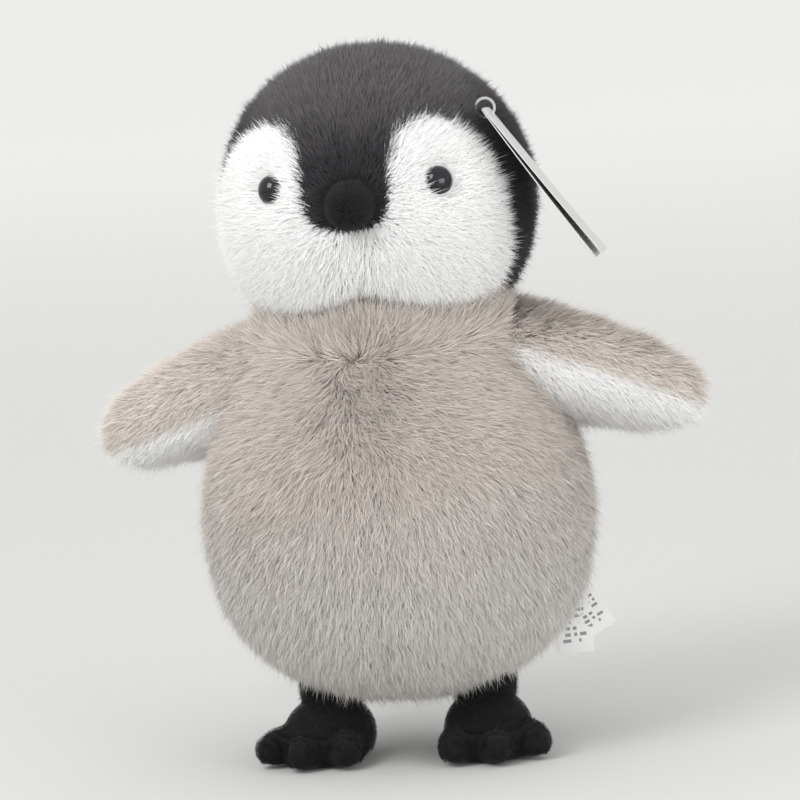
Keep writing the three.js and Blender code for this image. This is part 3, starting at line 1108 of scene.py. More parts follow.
# ------------------------------------------------------------------ the torso
@dataclass
class Torso:
    """The pear-shaped body: a stuffed skin under five panels of fur; its care label is made by
    build_label.
    """

    pile: float = 9.0 * MM
    depth_ratio: float = 0.9
    chest: tuple[float, float] = (-0.012, 0.186)
    coat: Coat = Coat(Finish.TAUPE_FUR, 4.2e6, 11.5 * MM, 0.29 * MM)
    stuffing: Stuffing = Stuffing(6.0 * MM, 2.0 * MM)
    # half width against height, as shares of the widest half width and of the height
    outline: tuple[tuple[float, float], ...] = (
        (0.0, 0.0), (0.34, 0.015), (0.58, 0.065), (0.80, 0.15), (0.945, 0.28), (1.0, 0.46),
        (0.945, 0.63), (0.834, 0.77), (0.719, 0.89), (0.643, 1.0),
    )
    skin: bpy.types.Object = field(init=False)

    def __post_init__(self) -> None:
        """Reads the torso's place and size from the frame."""
        _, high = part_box("body_front_left")
        base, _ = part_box("body_base")
        self.bottom = base.z
        self.rim = high.z
        self.half_width = high.x + 1.0 * MM
        self.head_low, self.head_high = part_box("hood_left")
        self.head_centre = np.array((0.0, 0.0, (self.head_low.z + self.head_high.z) / 2))

    def build_skin(self) -> None:
        """Makes the stuffed skin, hollowed on top where the head sits."""
        curve = curve_through(self.outline, 8)
        profile = curve * (self.half_width, self.rim - self.bottom) + (0.0, self.bottom)
        along = unit(np.gradient(profile, axis=0))
        profile += np.stack([-along[:, 1], along[:, 0]], axis=1) * self.pile
        profile[:, 0] = np.maximum(profile[:, 0], 0.0)
        profile[0, 0] = 0.0
        closed = np.vstack([profile, (profile[-1, 0] * 0.5, profile[-1, 1]), (0.0, profile[-1, 1])])
        self.skin = self.stuffing.fill(lathe("body_filling", closed, 72, self.depth_ratio))
        points = positions(self.skin)
        points = self._seams(points)
        away = points - self.head_centre
        reach = np.linalg.norm(away, axis=1, keepdims=True)
        bowl = (self.head_high.z - self.head_low.z) / 2 - 3.0 * MM
        move_to(self.skin, np.where(reach < bowl, self.head_centre + unit(away) * bowl, points))

    def _seams(self, points: np.ndarray) -> np.ndarray:
        """Draws the skin in along the seams at the front, the back and the sides.

        Args:
            points: Rows of three numbers.

        Returns:
            The points, drawn in.
        """
        depth = 1.6 * MM * np.exp(-((points[:, 0] / (5.0 * MM)) ** 2))
        depth += 1.2 * MM * np.exp(-((points[:, 1] / (5.0 * MM)) ** 2))
        inward = points * (1.0, 1.0, 0.0)
        return points - unit(inward) * depth[:, None]

    def nap(self, points: np.ndarray) -> np.ndarray:
        """The lie of the fur: parted sideways on the chest, down on the belly and the back.

        Args:
            points: Rows of three numbers.

        Returns:
            One direction for each point.
        """
        front = smooth(-points[:, 1], -0.03, 0.03)
        chest = smooth(points[:, 2], self.chest[1] - 0.07, self.chest[1]) * front
        wander = self.chest[0] + 0.02 * (mottle(points, 0.04) - 0.5)
        across = np.tanh((points[:, 0] - wander) / 0.05) * (0.4 + 0.9 * chest)
        down = -1.0 + 0.7 * chest
        up = 2.4 * self._collar(points)
        return np.stack([across, np.zeros(len(points)), down + up], axis=1)

    def _collar(self, points: np.ndarray) -> np.ndarray:
        """1 next to the head, where the fur stands up against it, fading to 0.

        Args:
            points: Rows of three numbers.

        Returns:
            One number for each point.
        """
        reach = np.linalg.norm(points - self.head_centre, axis=1)
        front = 0.3 + 0.7 * smooth(-points[:, 1], 0.0, 0.03)
        return (1.0 - smooth(reach, 0.074, 0.096)) * front

    def _tuft(self, points: np.ndarray) -> np.ndarray:
        """1 at the tuft under the chin, which stands up between the cheeks, fading to 0."""
        side = (points[:, 0] - 0.002) / 0.014
        return np.exp(-(side**2)) * self._collar(points) * (points[:, 1] < 0.0)

    def _chest(self, points: np.ndarray) -> np.ndarray:
        """1 in the ruffled patch on the chest and in the parting above it, fading to 0.

        Args:
            points: Rows of three numbers.

        Returns:
            One number for each point.
        """
        side = points[:, 0] - self.chest[0]
        height = points[:, 2] - self.chest[1]
        patch = np.exp(-((side / 0.042) ** 2) - (height / 0.030) ** 2)
        parting = np.exp(-((side / 0.016) ** 2)) * smooth(height, -0.03, 0.02)
        ruffle = mottle(points, 0.022)
        return np.clip(patch + 0.5 * parting, 0.0, 1.0) * ruffle * (points[:, 1] < 0.0)

    def _ruffle(self, points: np.ndarray) -> np.ndarray:
        """How much more strands stand up in the whole coat, from 0 to 1, in soft patches."""
        return 0.35 * mottle(points, 0.035) + self._chest(points)

    def _rise(self, points: np.ndarray) -> np.ndarray:
        """How much more strands stand up, in radians: on the chest they are seen end-on."""
        return np.radians(19.0) * self._ruffle(points)

    def _bare(self, points: np.ndarray) -> np.ndarray:
        """Positive where fur grows: not under the head, the wings or the legs.

        Args:
            points: Rows of three numbers.

        Returns:
            One number for each point.
        """
        reach = np.linalg.norm(points - self.head_centre, axis=1)
        clear = reach - (self.head_high.z - self.head_low.z) / 2 + 6.5 * MM
        for side in Side:
            wing = Wing(side)
            clear = np.minimum(clear, wing.clearance(points))
            hip = frame_joint(f"leg_{side.word}_swing")
            away = np.hypot(points[:, 0] - hip.x, points[:, 1] - hip.y) - 12.0 * MM
            low = points[:, 2] < hip.z + 4.0 * MM
            clear = np.where(low, np.minimum(clear, away), clear)
        return clear

    def _darkness(self, points: np.ndarray) -> np.ndarray:
        """Painted shade: darker strands on the ruffled chest and round the neck, where shadow falls.

        Args:
            points: Rows of three numbers.

        Returns:
            One number for each point.
        """
        reach = np.linalg.norm(points - self.head_centre, axis=1)
        # painted shade: the strands darken round the neck under the head and in the chest's parting
        neck = 1.0 - smooth(reach, 0.074, 0.084)
        return np.clip(0.18 * self._chest(points) + 0.2 * neck, 0.0, 1.0)

    def _grow(self, points: np.ndarray) -> np.ndarray:
        """Longer strands in the tuft under the chin, round the neck and round the shoulders.

        Args:
            points: Rows of three numbers.

        Returns:
            One number for each point.
        """
        shoulder = np.full(len(points), 1.0)
        for side in Side:
            shoulder = np.minimum(shoulder, np.abs(Wing(side).clearance(points)))
        shoulder = np.exp(-((shoulder / (7.0 * MM)) ** 2))
        return 1.0 + 0.9 * self._tuft(points) + 0.3 * self._collar(points) + 0.35 * shoulder

    def build_coat(self) -> None:
        """Grows the five panels of fur."""
        _, base_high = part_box("body_base")
        middle = np.array((base_high.x, base_high.y))

        def on_base(points: np.ndarray) -> np.ndarray:
            """Positive on the base panel."""
            low = base_high.z - points[:, 2]
            return np.minimum(0.02 * (1.0 - np.linalg.norm(points[:, :2] / middle, axis=1)), low)

        panels = {
            "body_front_left": (1, -1),
            "body_front_right": (-1, -1),
            "body_back_left": (1, 1),
            "body_back_right": (-1, 1),
        }
        for number, (name, (across, back)) in enumerate(panels.items()):

            def inside(points: np.ndarray, across: int = across, back: int = back) -> np.ndarray:
                """Positive on this quarter."""
                quarter = np.minimum(points[:, 0] * across, points[:, 1] * back)
                return np.minimum(np.minimum(quarter, -on_base(points)), self._bare(points))

            # the fourth field darkens the strands as painted shade
            lie = Lie(inside, self.nap, self._grow, self._darkness, self._rise)
            fur = self.coat.grow(f"fur_{name}", self.skin, lie, 100 + number)
            Piece("torso", "taupe_pile", (name,), 0.9).settle(fur)
        lie = Lie(lambda points: np.minimum(on_base(points), self._bare(points)), self.nap)
        fur = self.coat.grow("fur_body_base", self.skin, lie, 110)
        Piece("torso", "taupe_pile", ("body_base",), 0.9).settle(fur)

    def dress(self) -> None:
        """Settles the skin under the fur."""
        piece = Piece("torso", "fill", ("body_stuffing",), 0.9)
        piece.settle(self.skin, Finish.TAUPE_BACKING)


# ------------------------------------------------------------------ sides, joints and wings
class Side(Enum):
    """The toy's own left and right."""

    LEFT = 1
    RIGHT = -1

    @property
    def word(self) -> str:
        """The side's name in node and joint names."""
        return self.name.lower()


def frame_joint(name: str) -> Vector:
    """Where a joint's pivot is."""
    found = next(joint for joint in frame["joints"] if joint["name"] == name)
    return Vector(found["pos_m"])


@dataclass
class Wing:
    """A puffed flipper with a taupe outer and a white inner panel."""

    side: Side
    reach: float = 90.0 * MM
    root: float = 26.0 * MM
    widest: float = 10.0 * MM
    chord: float = 70.0 * MM
    thickness: float = 58.0 * MM
    pile: float = 8.0 * MM
    sweep: float = 20.0
    # the outer coat wears the taupe fur painted lighter
    outer_coat: Coat = Coat(Finish.WING_FUR, 3.8e6, 11.5 * MM, 0.30 * MM, 4.0)
    inner_coat: Coat = Coat(Finish.WHITE_FUR, 3.8e6, 10.5 * MM, 0.31 * MM, 0.0, softness=0.8)
    stuffing: Stuffing = Stuffing(4.5 * MM, 2.0 * MM)
    skin: bpy.types.Object = field(init=False)

    def __post_init__(self) -> None:
        """Places the wing at its shoulder."""
        droop, pitch = {Side.LEFT: (20.0, -8.0), Side.RIGHT: (20.0, 16.0)}[self.side]
        sign = self.side.value
        self.pivot = frame_joint(f"wing_{self.side.word}_flap")
        turn = Matrix.Rotation(math.radians(sign * self.sweep), 4, "Z")
        turn = turn @ Matrix.Rotation(math.radians(sign * droop), 4, "Y")
        turn = turn @ Matrix.Rotation(math.radians(pitch), 4, "X")
        self.place = Matrix.Translation(self.pivot) @ turn

    def local(self, points: np.ndarray) -> np.ndarray:
        """Points in the wing's own axes: X outwards along it, Z up through it."""
        return placed(points, self.place.inverted()) * (self.side.value, 1.0, 1.0)

    def clearance(self, points: np.ndarray) -> np.ndarray:
        """Distance outside the wing's skin, negative within it.

        Args:
            points: Rows of three numbers.

        Returns:
            One number for each point.
        """
        half = self._half() - 3.0 * MM
        inner = (self.local(points) - (self.widest, 0.0, 0.0)) / half
        return (np.linalg.norm(inner, axis=1) - 1.0) * half[2]

    def _half(self) -> np.ndarray:
        """Half sizes of the skin's oval."""
        outer = np.array((self.reach - self.widest, self.chord / 2, self.thickness / 2))
        return outer - self.pile

    def build_skin(self) -> None:
        """Makes the stuffed skin: a long oval, fuller towards its root."""
        sign = self.side.value
        shape = ball(f"wing_filling_{self.side.word}", 1.0, (0.0, 0.0, 0.0), 4)
        points = unit(positions(shape)) * self._half()
        points[:, 0] = np.maximum(points[:, 0] + self.widest, -self.root)
        points[:, 0] *= sign
        move_to(shape, placed(points, self.place))
        if sign < 0:
            shape.data.flip_normals()
        self.skin = self.stuffing.fill(shape)
        points = positions(self.skin)
        local = self.local(points)
        seam = 1.5 * MM * np.exp(-((local[:, 2] / (3.5 * MM)) ** 2))
        move_to(self.skin, points - normals(self.skin) * seam[:, None])

    def nap(self, points: np.ndarray) -> np.ndarray:
        """The lie of the fur: out along the wing, fanning off its middle and drooping.

        Args:
            points: Rows of three numbers.

        Returns:
            One direction for each point.
        """
        turn = np.array(self.place)[:3, :3]
        local = self.local(points)
        fan = np.stack([np.ones(len(points)), local[:, 1] / 0.05, local[:, 2] * 0.0], axis=1)
        fan *= (self.side.value, 1.0, 1.0)
        return unit(fan) @ turn.T + np.array((0.0, 0.0, -0.45))

    def build_coat(self) -> None:
        """Grows the outer and the inner panel's fur."""
        word = self.side.word
        for above, label, coat in ((1, "outer", self.outer_coat), (-1, "inner", self.inner_coat)):

            def inside(points: np.ndarray, above: int = above) -> np.ndarray:
                """Positive on this face of the wing, outside the torso."""
                local = self.local(points)
                return np.minimum(local[:, 2] * above, local[:, 0] + self.root - 6.0 * MM)

            def grow(points: np.ndarray) -> np.ndarray:
                """Longer strands at the tip and edges."""
                return 0.85 + 0.3 * smooth(self.local(points)[:, 0], 0.03, self.reach)

            def rise(points: np.ndarray) -> np.ndarray:
                """Strands stand up at the shoulder, and in soft patches."""
                shoulder = 1.0 - smooth(self.local(points)[:, 0], -0.016, 0.012)
                return np.radians(14.0) * shoulder + np.radians(18.0) * mottle(points, 0.03)

            name = f"wing_{label}_{word}"
            lie = Lie(inside, self.nap, grow, rise=rise)
            seed = 200 + 10 * above + self.side.value
            fur = coat.grow(f"fur_{name}", self.skin, lie, seed)
            slot = "taupe_pile" if above > 0 else "white_pile"
            Piece(f"wing_{word}", slot, (name,), 0.9, self._shoulder()).settle(fur)

    def _shoulder(self) -> Bend:
        """Two points across the wing's shoulder, between the torso and the free wing, as a Bend."""
        start = self.place @ Vector((-self.side.value * 14.0 * MM, 0.0, 0.0))
        end = self.place @ Vector((self.side.value * 16.0 * MM, 0.0, 0.0))
        return Bend("torso", start, end)

    def dress(self) -> None:
        """Settles the skin under the fur."""
        word = self.side.word
        nodes = (f"wing_stuffing_{word}",)
        piece = Piece(f"wing_{word}", "fill", nodes, 0.9, self._shoulder())
        backings = (Finish.TAUPE_BACKING, Finish.WHITE_BACKING)
        line_in_two(self.skin, backings, lambda points: -self.local(points)[:, 2])
        piece.settle(self.skin)


# ------------------------------------------------------------------ the head
@dataclass
class Head:
    """The round head: charcoal hood, white cheeks, beak and eyes."""

    pile: float = 8.5 * MM
    eye_azimuth: float = 35.0
    eye_elevation: float = 11.0
    eye_radius: float = 7.2 * MM
    eye_seat: float = 72.5 * MM
    beak_seat: float = 70.0 * MM
    offset: float = 3.0 * MM
    hood_coat: Coat = Coat(Finish.CHARCOAL_FUR, 4.0e6, 10.5 * MM, 0.30 * MM, 4.0, guard=0.25)
    cheek_coat: Coat = Coat(Finish.WHITE_FUR, 4.0e6, 10.0 * MM, 0.31 * MM, 4.0, softness=0.9)
    stuffing: Stuffing = Stuffing(5.5 * MM, 1.5 * MM)
    # outline of the left cheek's roots from the front, about the head's centre, in millimetres
    face: tuple[tuple[float, float], ...] = (
        (0, -6), (13, -5), (18.5, 0), (21, 9), (21.5, 24), (24, 36), (30, 43), (39, 46),
        (49, 43), (58, 36), (66, 24), (71, 9), (72.5, -8), (72, -26), (65, -42), (50, -60),
        (24, -74), (0, -77),
    )
    # the lower edge of the face's roots: sideways from the chin, and height, in millimetres
    chin: tuple[tuple[float, float], ...] = (
        (0, -31), (7, -32), (15, -35), (25, -38), (40, -42), (52, -47), (64, -62),
    )
    skin: bpy.types.Object = field(init=False)

    def __post_init__(self) -> None:
        """Reads the head's place and size from the frame."""
        low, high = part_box("hood_left")
        self.radius = (high.z - low.z) / 2
        self.centre = np.array((0.0, 0.0, (high.z + low.z) / 2))

    def aim(self, azimuth: float, elevation: float) -> np.ndarray:
        """The direction out of the head at an azimuth to its left and an elevation."""
        a, e = math.radians(azimuth), math.radians(elevation)
        return np.array((math.sin(a) * math.cos(e), -math.cos(a) * math.cos(e), math.sin(e)))

    def eye_direction(self, side: Side) -> np.ndarray:
        """The direction in which an eye looks."""
        return self.aim(side.value * self.eye_azimuth, self.eye_elevation)

    def cheek_distance(self, points: np.ndarray) -> np.ndarray:
        """Positive on either cheek panel, in metres, negative on the hood.

        Args:
            points: Rows of three numbers.

        Returns:
            One number for each point.
        """
        aimed = unit(points - self.centre) * self.radius
        flat = np.stack([np.abs(aimed[:, 0] + self.offset), aimed[:, 2]], axis=1)
        corners = curve_through(self.face, 4) * MM
        corners[:, 0] = np.maximum(corners[:, 0], -1.0 * MM)
        return np.where(aimed[:, 1] < 0.0, outline_distance(flat, corners), -0.02)

    def build_skin(self) -> None:
        """Makes the stuffed skin, with a dimple at each eye and a soft chin."""
        shape = ball("head_filling", self.radius - self.pile, self.centre, 4)
        self.skin = self.stuffing.fill(shape)
        points = positions(self.skin)
        out = unit(points - self.centre)
        for side in Side:
            far = np.linalg.norm(out - self.eye_direction(side), axis=1) * self.radius
            points -= out * (5.5 * MM * np.exp(-((far / (11.0 * MM)) ** 2)))[:, None]
        border = np.exp(-((self.cheek_distance(points) / (3.5 * MM)) ** 2)) * (out[:, 1] < 0.2)
        crown = np.exp(-((points[:, 0] / (4.0 * MM)) ** 2))
        seam_depth, cleft_depth = 1.5 * MM, 6.0 * MM
        points -= out * (seam_depth * border + seam_depth * crown)[:, None]
        points -= out * (cleft_depth * self._cleft(points))[:, None]
        move_to(self.skin, points)

    def _cleft(self, points: np.ndarray) -> np.ndarray:
        """1 along the cleft where the cheeks meet at the chin, fading to 0.

        Args:
            points: Rows of three numbers.

        Returns:
            One number for each point.
        """
        low = smooth(self.centre[2] - points[:, 2], 20.0 * MM, 50.0 * MM)
        width = 3.0 * MM + 7.0 * MM * low
        side = (points[:, 0] - 2.0 * MM) / width
        return np.exp(-(side**2)) * low * (points[:, 1] < 0.0)

    def nap(self, points: np.ndarray) -> np.ndarray:
        """The lie of the fur: away from the beak, over the crown and down the back.

        Args:
            points: Rows of three numbers.

        Returns:
            One direction for each point.
        """
        beak = self.centre + self.aim(0.0, 3.0) * self.radius
        away = unit(points - beak)
        back = smooth(points[:, 1], 0.0, 0.06)[:, None]
        low = smooth(self.centre[2] - points[:, 2], 0.0, 0.05)[:, None]
        down = np.array((0.0, 0.0, -1.0))
        return away * (1.0 - 0.8 * back) + down * (0.9 * back + 0.4 * low)

    def _visible(self, points: np.ndarray) -> np.ndarray:
        """Positive above the part that sits deep in the torso."""
        return points[:, 2] - (self.centre[2] - 0.86 * self.radius)

    def _under_chin(self, points: np.ndarray) -> np.ndarray:
        """1 where the torso's collar covers the face's fur, which is short there.

        Args:
            points: Rows of three numbers.

        Returns:
            One number for each point.
        """
        across, heights = np.array(self.chin).T * MM
        line = np.interp(np.abs(points[:, 0] - 2.0 * MM), across, heights)
        below = smooth(line - points[:, 2] + self.centre[2], -1.0 * MM, 3.0 * MM)
        return below * (1.0 - smooth(points[:, 1], -0.03, 0.0))

    def _near_eye(self, points: np.ndarray) -> np.ndarray:
        """Distance of each point from the nearer eye's middle.

        Args:
            points: Rows of three numbers.

        Returns:
            One number for each point.
        """
        out = unit(points - self.centre)
        spans = [np.linalg.norm(out - self.eye_direction(side), axis=1) for side in Side]
        return np.minimum(*spans) * self.radius

    def grow(self, points: np.ndarray) -> np.ndarray:
        """Shorter strands round the eyes, the beak and the chin, longer on the cheeks' edges.

        Args:
            points: Rows of three numbers.

        Returns:
            One number for each point.
        """
        beak = np.linalg.norm(unit(points - self.centre) - self.aim(0.0, 5.0), axis=1)
        by_beak = 0.5 + 0.5 * smooth(beak * self.radius, 8.0 * MM, 34.0 * MM)
        by_eye = 0.55 + 0.45 * smooth(self._near_eye(points), 4.0 * MM, 14.0 * MM)
        rim = self.cheek_distance(points)
        by_rim = 1.0 + 0.3 * np.exp(-(((rim - 2.0 * MM) / (4.0 * MM)) ** 2)) * (rim > 0.0)
        by_rim -= 0.3 * np.exp(-((rim / (6.0 * MM)) ** 2)) * (rim < 0.0)
        outer = smooth(np.abs(points[:, 0]), 0.040, 0.060)
        by_chin = 1.0 - 0.45 * self._under_chin(points)
        return by_beak * by_eye * by_chin * (1.0 + (by_rim - 1.0) * outer)

    def _darkness(self, points: np.ndarray) -> np.ndarray:
        """Painted shade: darker strands in a ring round the beak's root, where the beak meets the
        hood.

        Args:
            points: Rows of three numbers.

        Returns:
            One number for each point.
        """
        beak = np.linalg.norm(unit(points - self.centre) - self.aim(0.0, 4.0), axis=1)
        # painted shade in a ring round the beak's root
        ring = np.exp(-(((beak * self.radius - 12.0 * MM) / (3.0 * MM)) ** 2))
        return np.clip(0.8 * ring * (self.cheek_distance(points) < 0.0), 0.0, 1.0)

    def _rise(self, points: np.ndarray) -> np.ndarray:
        """Strands stand up more in soft patches, most of all on the brow and the crown.

        Args:
            points: Rows of three numbers.

        Returns:
            One number for each point.
        """
        high = smooth(points[:, 2] - self.centre[2], 0.0, 0.03)
        hood = smooth(-self.cheek_distance(points), 0.0, 0.004)
        return np.radians(30.0) * (0.2 + 0.5 * hood + 0.3 * high * hood) * mottle(points, 0.022)

    def build_coat(self) -> None:
        """Grows the fur of both hood halves and both cheeks."""
        for side in Side:
            half = side.value

            def hood(points: np.ndarray, half: int = half) -> np.ndarray:
                """Positive on this half of the hood."""
                part = np.minimum(points[:, 0] * half, -self.cheek_distance(points))
                return np.minimum(part, self._visible(points))

            def cheek(points: np.ndarray, half: int = half) -> np.ndarray:
                """Positive on this cheek, off the eye.

                Args:
                    points: Rows of three numbers.

                Returns:
                    One number for each point.
                """
                part = np.minimum(points[:, 0] * half, self.cheek_distance(points))
                clear = np.minimum(self._visible(points), self._near_eye(points) - 5.0 * MM)
                return np.minimum(part, clear)

            word = side.word
            for label, inside, coat, slot in (
                ("hood", hood, self.hood_coat, "charcoal_pile"),
                ("cheek", cheek, self.cheek_coat, "white_pile"),
            ):
                # the fourth field darkens the strands round the beak as painted shade
                lie = Lie(inside, self.nap, self.grow, self._darkness, self._rise)
                seed = 300 + half + (10 if label == "cheek" else 0)
                fur = coat.grow(f"fur_{label}_{word}", self.skin, lie, seed)
                if side is Side.LEFT:
                    press_under_card(fur)
                Piece("head", slot, (f"{label}_{word}",), 0.9).settle(fur)

    def dress(self) -> None:
        """Settles the skin under the fur, charcoal under the hood and white under the cheeks."""
        backings = (Finish.CHARCOAL_BACKING, Finish.WHITE_BACKING)
        line_in_two(self.skin, backings, self.cheek_distance)
        Piece("head", "fill", ("head_stuffing",), 0.9).settle(self.skin)

    def build_eyes(self) -> None:
        """Makes the two glossy domes."""
        for side in Side:
            out = self.eye_direction(side)
            turns = np.linspace(0.0, math.pi / 2, 13)
            dome = self.eye_radius * np.stack([np.cos(turns), 0.8 * np.sin(turns)])
            rim = np.array(((0.0, -1.5 * MM), (self.eye_radius * 0.92, -1.5 * MM)))
            profile = np.vstack([rim, (self.eye_radius, -0.8 * MM), dome.T])
            profile[-1, 0] = 0.0
            eye = lathe(f"eye_dome_{side.word}", profile, 48)
            seat = self.centre + out * self.eye_seat
            move_to(eye, positions(eye) @ turn_up_to(out).T + seat)
            Piece("head", "eye_gloss", (f"eye_{side.word}",)).settle(eye, Finish.EYE)

    def build_beak(self) -> None:
        """Makes the short blunt beak and its close black pile."""
        low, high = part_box("beak")
        out = self.aim(0.0, -7.0)
        radius = (high.x - low.x) / 2
        length = high.y - low.y
        turns = np.linspace(0.0, math.pi / 2, 15)
        curve = np.stack([radius * 0.86 * np.cos(turns) ** 0.8, length * 0.93 * np.sin(turns)])
        profile = np.vstack([(0.0, -1.0 * MM), curve.T])
        profile[-1, 0] = 0.0
        cone = lathe("beak_core", profile, 40)
        seat = self.centre + self.aim(0.0, 5.0) * self.beak_seat
        move_to(cone, positions(cone) @ turn_up_to(out).T + seat)

        def nap(points: np.ndarray) -> np.ndarray:
            """The pile lies back from the tip."""
            return np.tile(-out + np.array((0.0, 0.0, -0.2)), (len(points), 1))

        coat = Coat(Finish.BEAK_FUR, 10.0e6, 3.4 * MM, 0.28 * MM, 25.0, 20.0, 40.0, softness=0.4)
        lie = Lie(lambda points: np.ones(len(points)), nap)
        fur = coat.grow("fur_beak", cone, lie, 330)
        Piece("head", "black_pile").settle(fur)
        Piece("head", "black_pile", ("beak",), 0.8).settle(cone, Finish.VELOUR)


# ------------------------------------------------------------------ legs and feet
@dataclass
class Leg:
    """A short black shank of close pile and a smooth stuffed foot with three toes."""

    side: Side
    splay: float = 15.0
    shank_radius: float = 13.0 * MM
    sole_gap: float = 0.4 * MM
    stuffing: Stuffing = Stuffing(2.6 * MM, 2.2 * MM, 6.0)
    # lobes of the foot: centre and half sizes in millimetres, toes towards -Y, and their turn
    lobes: tuple[tuple[tuple[float, ...], tuple[float, ...], float], ...] = (
        ((0, -6, 12), (23, 29, 21), 0.0),
        ((0, -19, 9.5), (25, 21, 14), 0.0),
        ((0, -34.5, 9.5), (10.5, 15, 11), 0.0),
        ((-18.5, -27, 9.5), (10.5, 15.5, 10.5), -16.0),
        ((18.5, -27, 9.5), (10.5, 15.5, 10.5), 16.0),
    )

    def __post_init__(self) -> None:
        """Finds the hip."""
        self.hip = frame_joint(f"leg_{self.side.word}_swing")
        self.body = f"leg_{self.side.word}"

    def build_foot(self) -> None:
        """Makes the stuffed foot, flat underneath."""
        word = self.side.word
        shape = bmesh.new()
        for centre, half, turn in self.lobes:
            matrix = Matrix.Translation([value * MM for value in centre])
            matrix = matrix @ Matrix.Rotation(math.radians(turn), 4, "Z")
            matrix = matrix @ Matrix.Diagonal([(value - 1.6) * MM for value in half] + [1.0])
            bmesh.ops.create_icosphere(shape, subdivisions=3, radius=1.0, matrix=matrix)
        foot = mesh_object(f"foot_skin_{word}", np.zeros((0, 3)), [])
        shape.to_mesh(foot.data)
        shape.free()
        foot.data.transform(self._place())
        self.stuffing.fill(foot)
        points = positions(foot)
        points[:, 2] = np.maximum(points[:, 2], self.sole_gap)
        move_to(foot, points)
        self._crease(foot)
        nodes = tuple(f"foot_{part}_{word}" for part in ("upper", "sole", "stuffing"))
        lie = Lie(lambda points: points[:, 2] - 3.5 * MM, self._foot_nap)
        coat = Coat(Finish.NAP, 3.5e6, 1.9 * MM, 0.30 * MM, 8.0, 14.0, 20.0, 10.0)
        fur = coat.grow(f"fur_foot_{word}", foot, lie, 420 + self.side.value)
        Piece(self.body, "foot_velour").settle(fur)
        Piece(self.body, "foot_velour", nodes, 0.9).settle(foot, Finish.VELOUR)

    def _place(self) -> Matrix:
        """The foot's own axes: its ankle's foot on the floor, toes towards -Y."""
        spin = Matrix.Rotation(math.radians(self.side.value * self.splay), 4, "Z")
        return Matrix.Translation((self.hip.x, self.hip.y, 0.0)) @ spin

    def _foot_nap(self, points: np.ndarray) -> np.ndarray:
        """The nap runs from the ankle out over the toes."""
        away = points - (self.hip.x, self.hip.y, 0.05)
        return unit(away)

    def _crease(self, foot: bpy.types.Object) -> None:
        """Draws a curved crease over each toe, as its stitching does.

        Args:
            foot: The foot's skin.
        """
        points = positions(foot)
        out = normals(foot)
        for centre, half, turn in self.lobes[2:]:
            middle = self._place() @ Vector([value * MM for value in centre])
            aim = self._place().to_3x3() @ Vector(
                (math.sin(math.radians(turn)), -math.cos(math.radians(turn)), -0.1)
            )
            offset = unit(points - np.array(middle))
            angle = np.arccos(np.clip(offset @ unit(np.array(aim)), -1.0, 1.0))
            near = np.linalg.norm(points - np.array(middle), axis=1) < 1.45 * half[1] * MM
            above = smooth(points[:, 2], 6.0 * MM, 12.0 * MM) * near
            for place, depth in ((52.0, 2.4), (80.0, 1.6)):
                groove = np.exp(-(((np.degrees(angle) - place) / 6.0) ** 2))
                points -= out * (depth * MM * groove * above)[:, None]
        move_to(foot, points)

    def build_shank(self) -> None:
        """Makes the shank and its close pile, hanging from inside the torso."""
        word = self.side.word
        low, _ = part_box(f"shank_{word}")
        rise = np.linspace(0.0, 1.0, 12)
        radius = self.shank_radius * (1.0 + 0.06 * np.sin(rise * math.pi))
        wall = np.stack([radius, low.z + rise * (self.hip.z + 6.0 * MM - low.z)], axis=1)
        profile = np.vstack([(0.0, wall[0, 1]), wall, (0.0, wall[-1, 1] + 5.0 * MM)])
        shank = lathe(f"shank_core_{word}", profile, 40)
        move_to(shank, positions(shank) + (self.hip.x, self.hip.y, 0.0))

        def nap(points: np.ndarray) -> np.ndarray:
            """The pile hangs down."""
            return np.tile((0.0, 0.0, -1.0), (len(points), 1))

        coat = Coat(Finish.BLACK_FUR, 4.5e6, 4.0 * MM, 0.34 * MM, 12.0, 18.0, 22.0)
        lie = Lie(lambda points: np.ones(len(points)), nap)
        fur = coat.grow(f"fur_shank_{word}", shank, lie, 400 + self.side.value)
        Piece(self.body, "black_pile").settle(fur)
        Piece(self.body, "black_pile", (f"shank_{word}",), 0.8).settle(shank, Finish.VELOUR)


# ------------------------------------------------------------------ tags and labels
@dataclass(frozen=True)
class CardPlace:
    """Where the swing tag hangs: its hinge, its slope, its size and how its leaves lie."""

    lean: float = 34.4
    twist: float = 5.0
    length: float = 90.0 * MM
    width: float = 44.0 * MM
    margin: float = 4.5 * MM
    opening: float = 2.2 * MM
    hole: float = 2.4 * MM
    corner: float = 5.0 * MM
    thickness: float = 0.45 * MM
    gap: float = 0.35 * MM
    curl: float = 1.2 * MM
    bow: float = 0.5 * MM
    clearance: float = 1.3 * MM

    def matrix(self) -> Matrix:
        """The card's axes: Z up along it, X out of its outer face."""
        turn = Matrix.Rotation(math.radians(-self.lean), 4, "Y")
        turn = turn @ Matrix.Rotation(math.radians(self.twist), 4, "Z")
        return Matrix.Translation(frame_joint("tag_swing")) @ turn


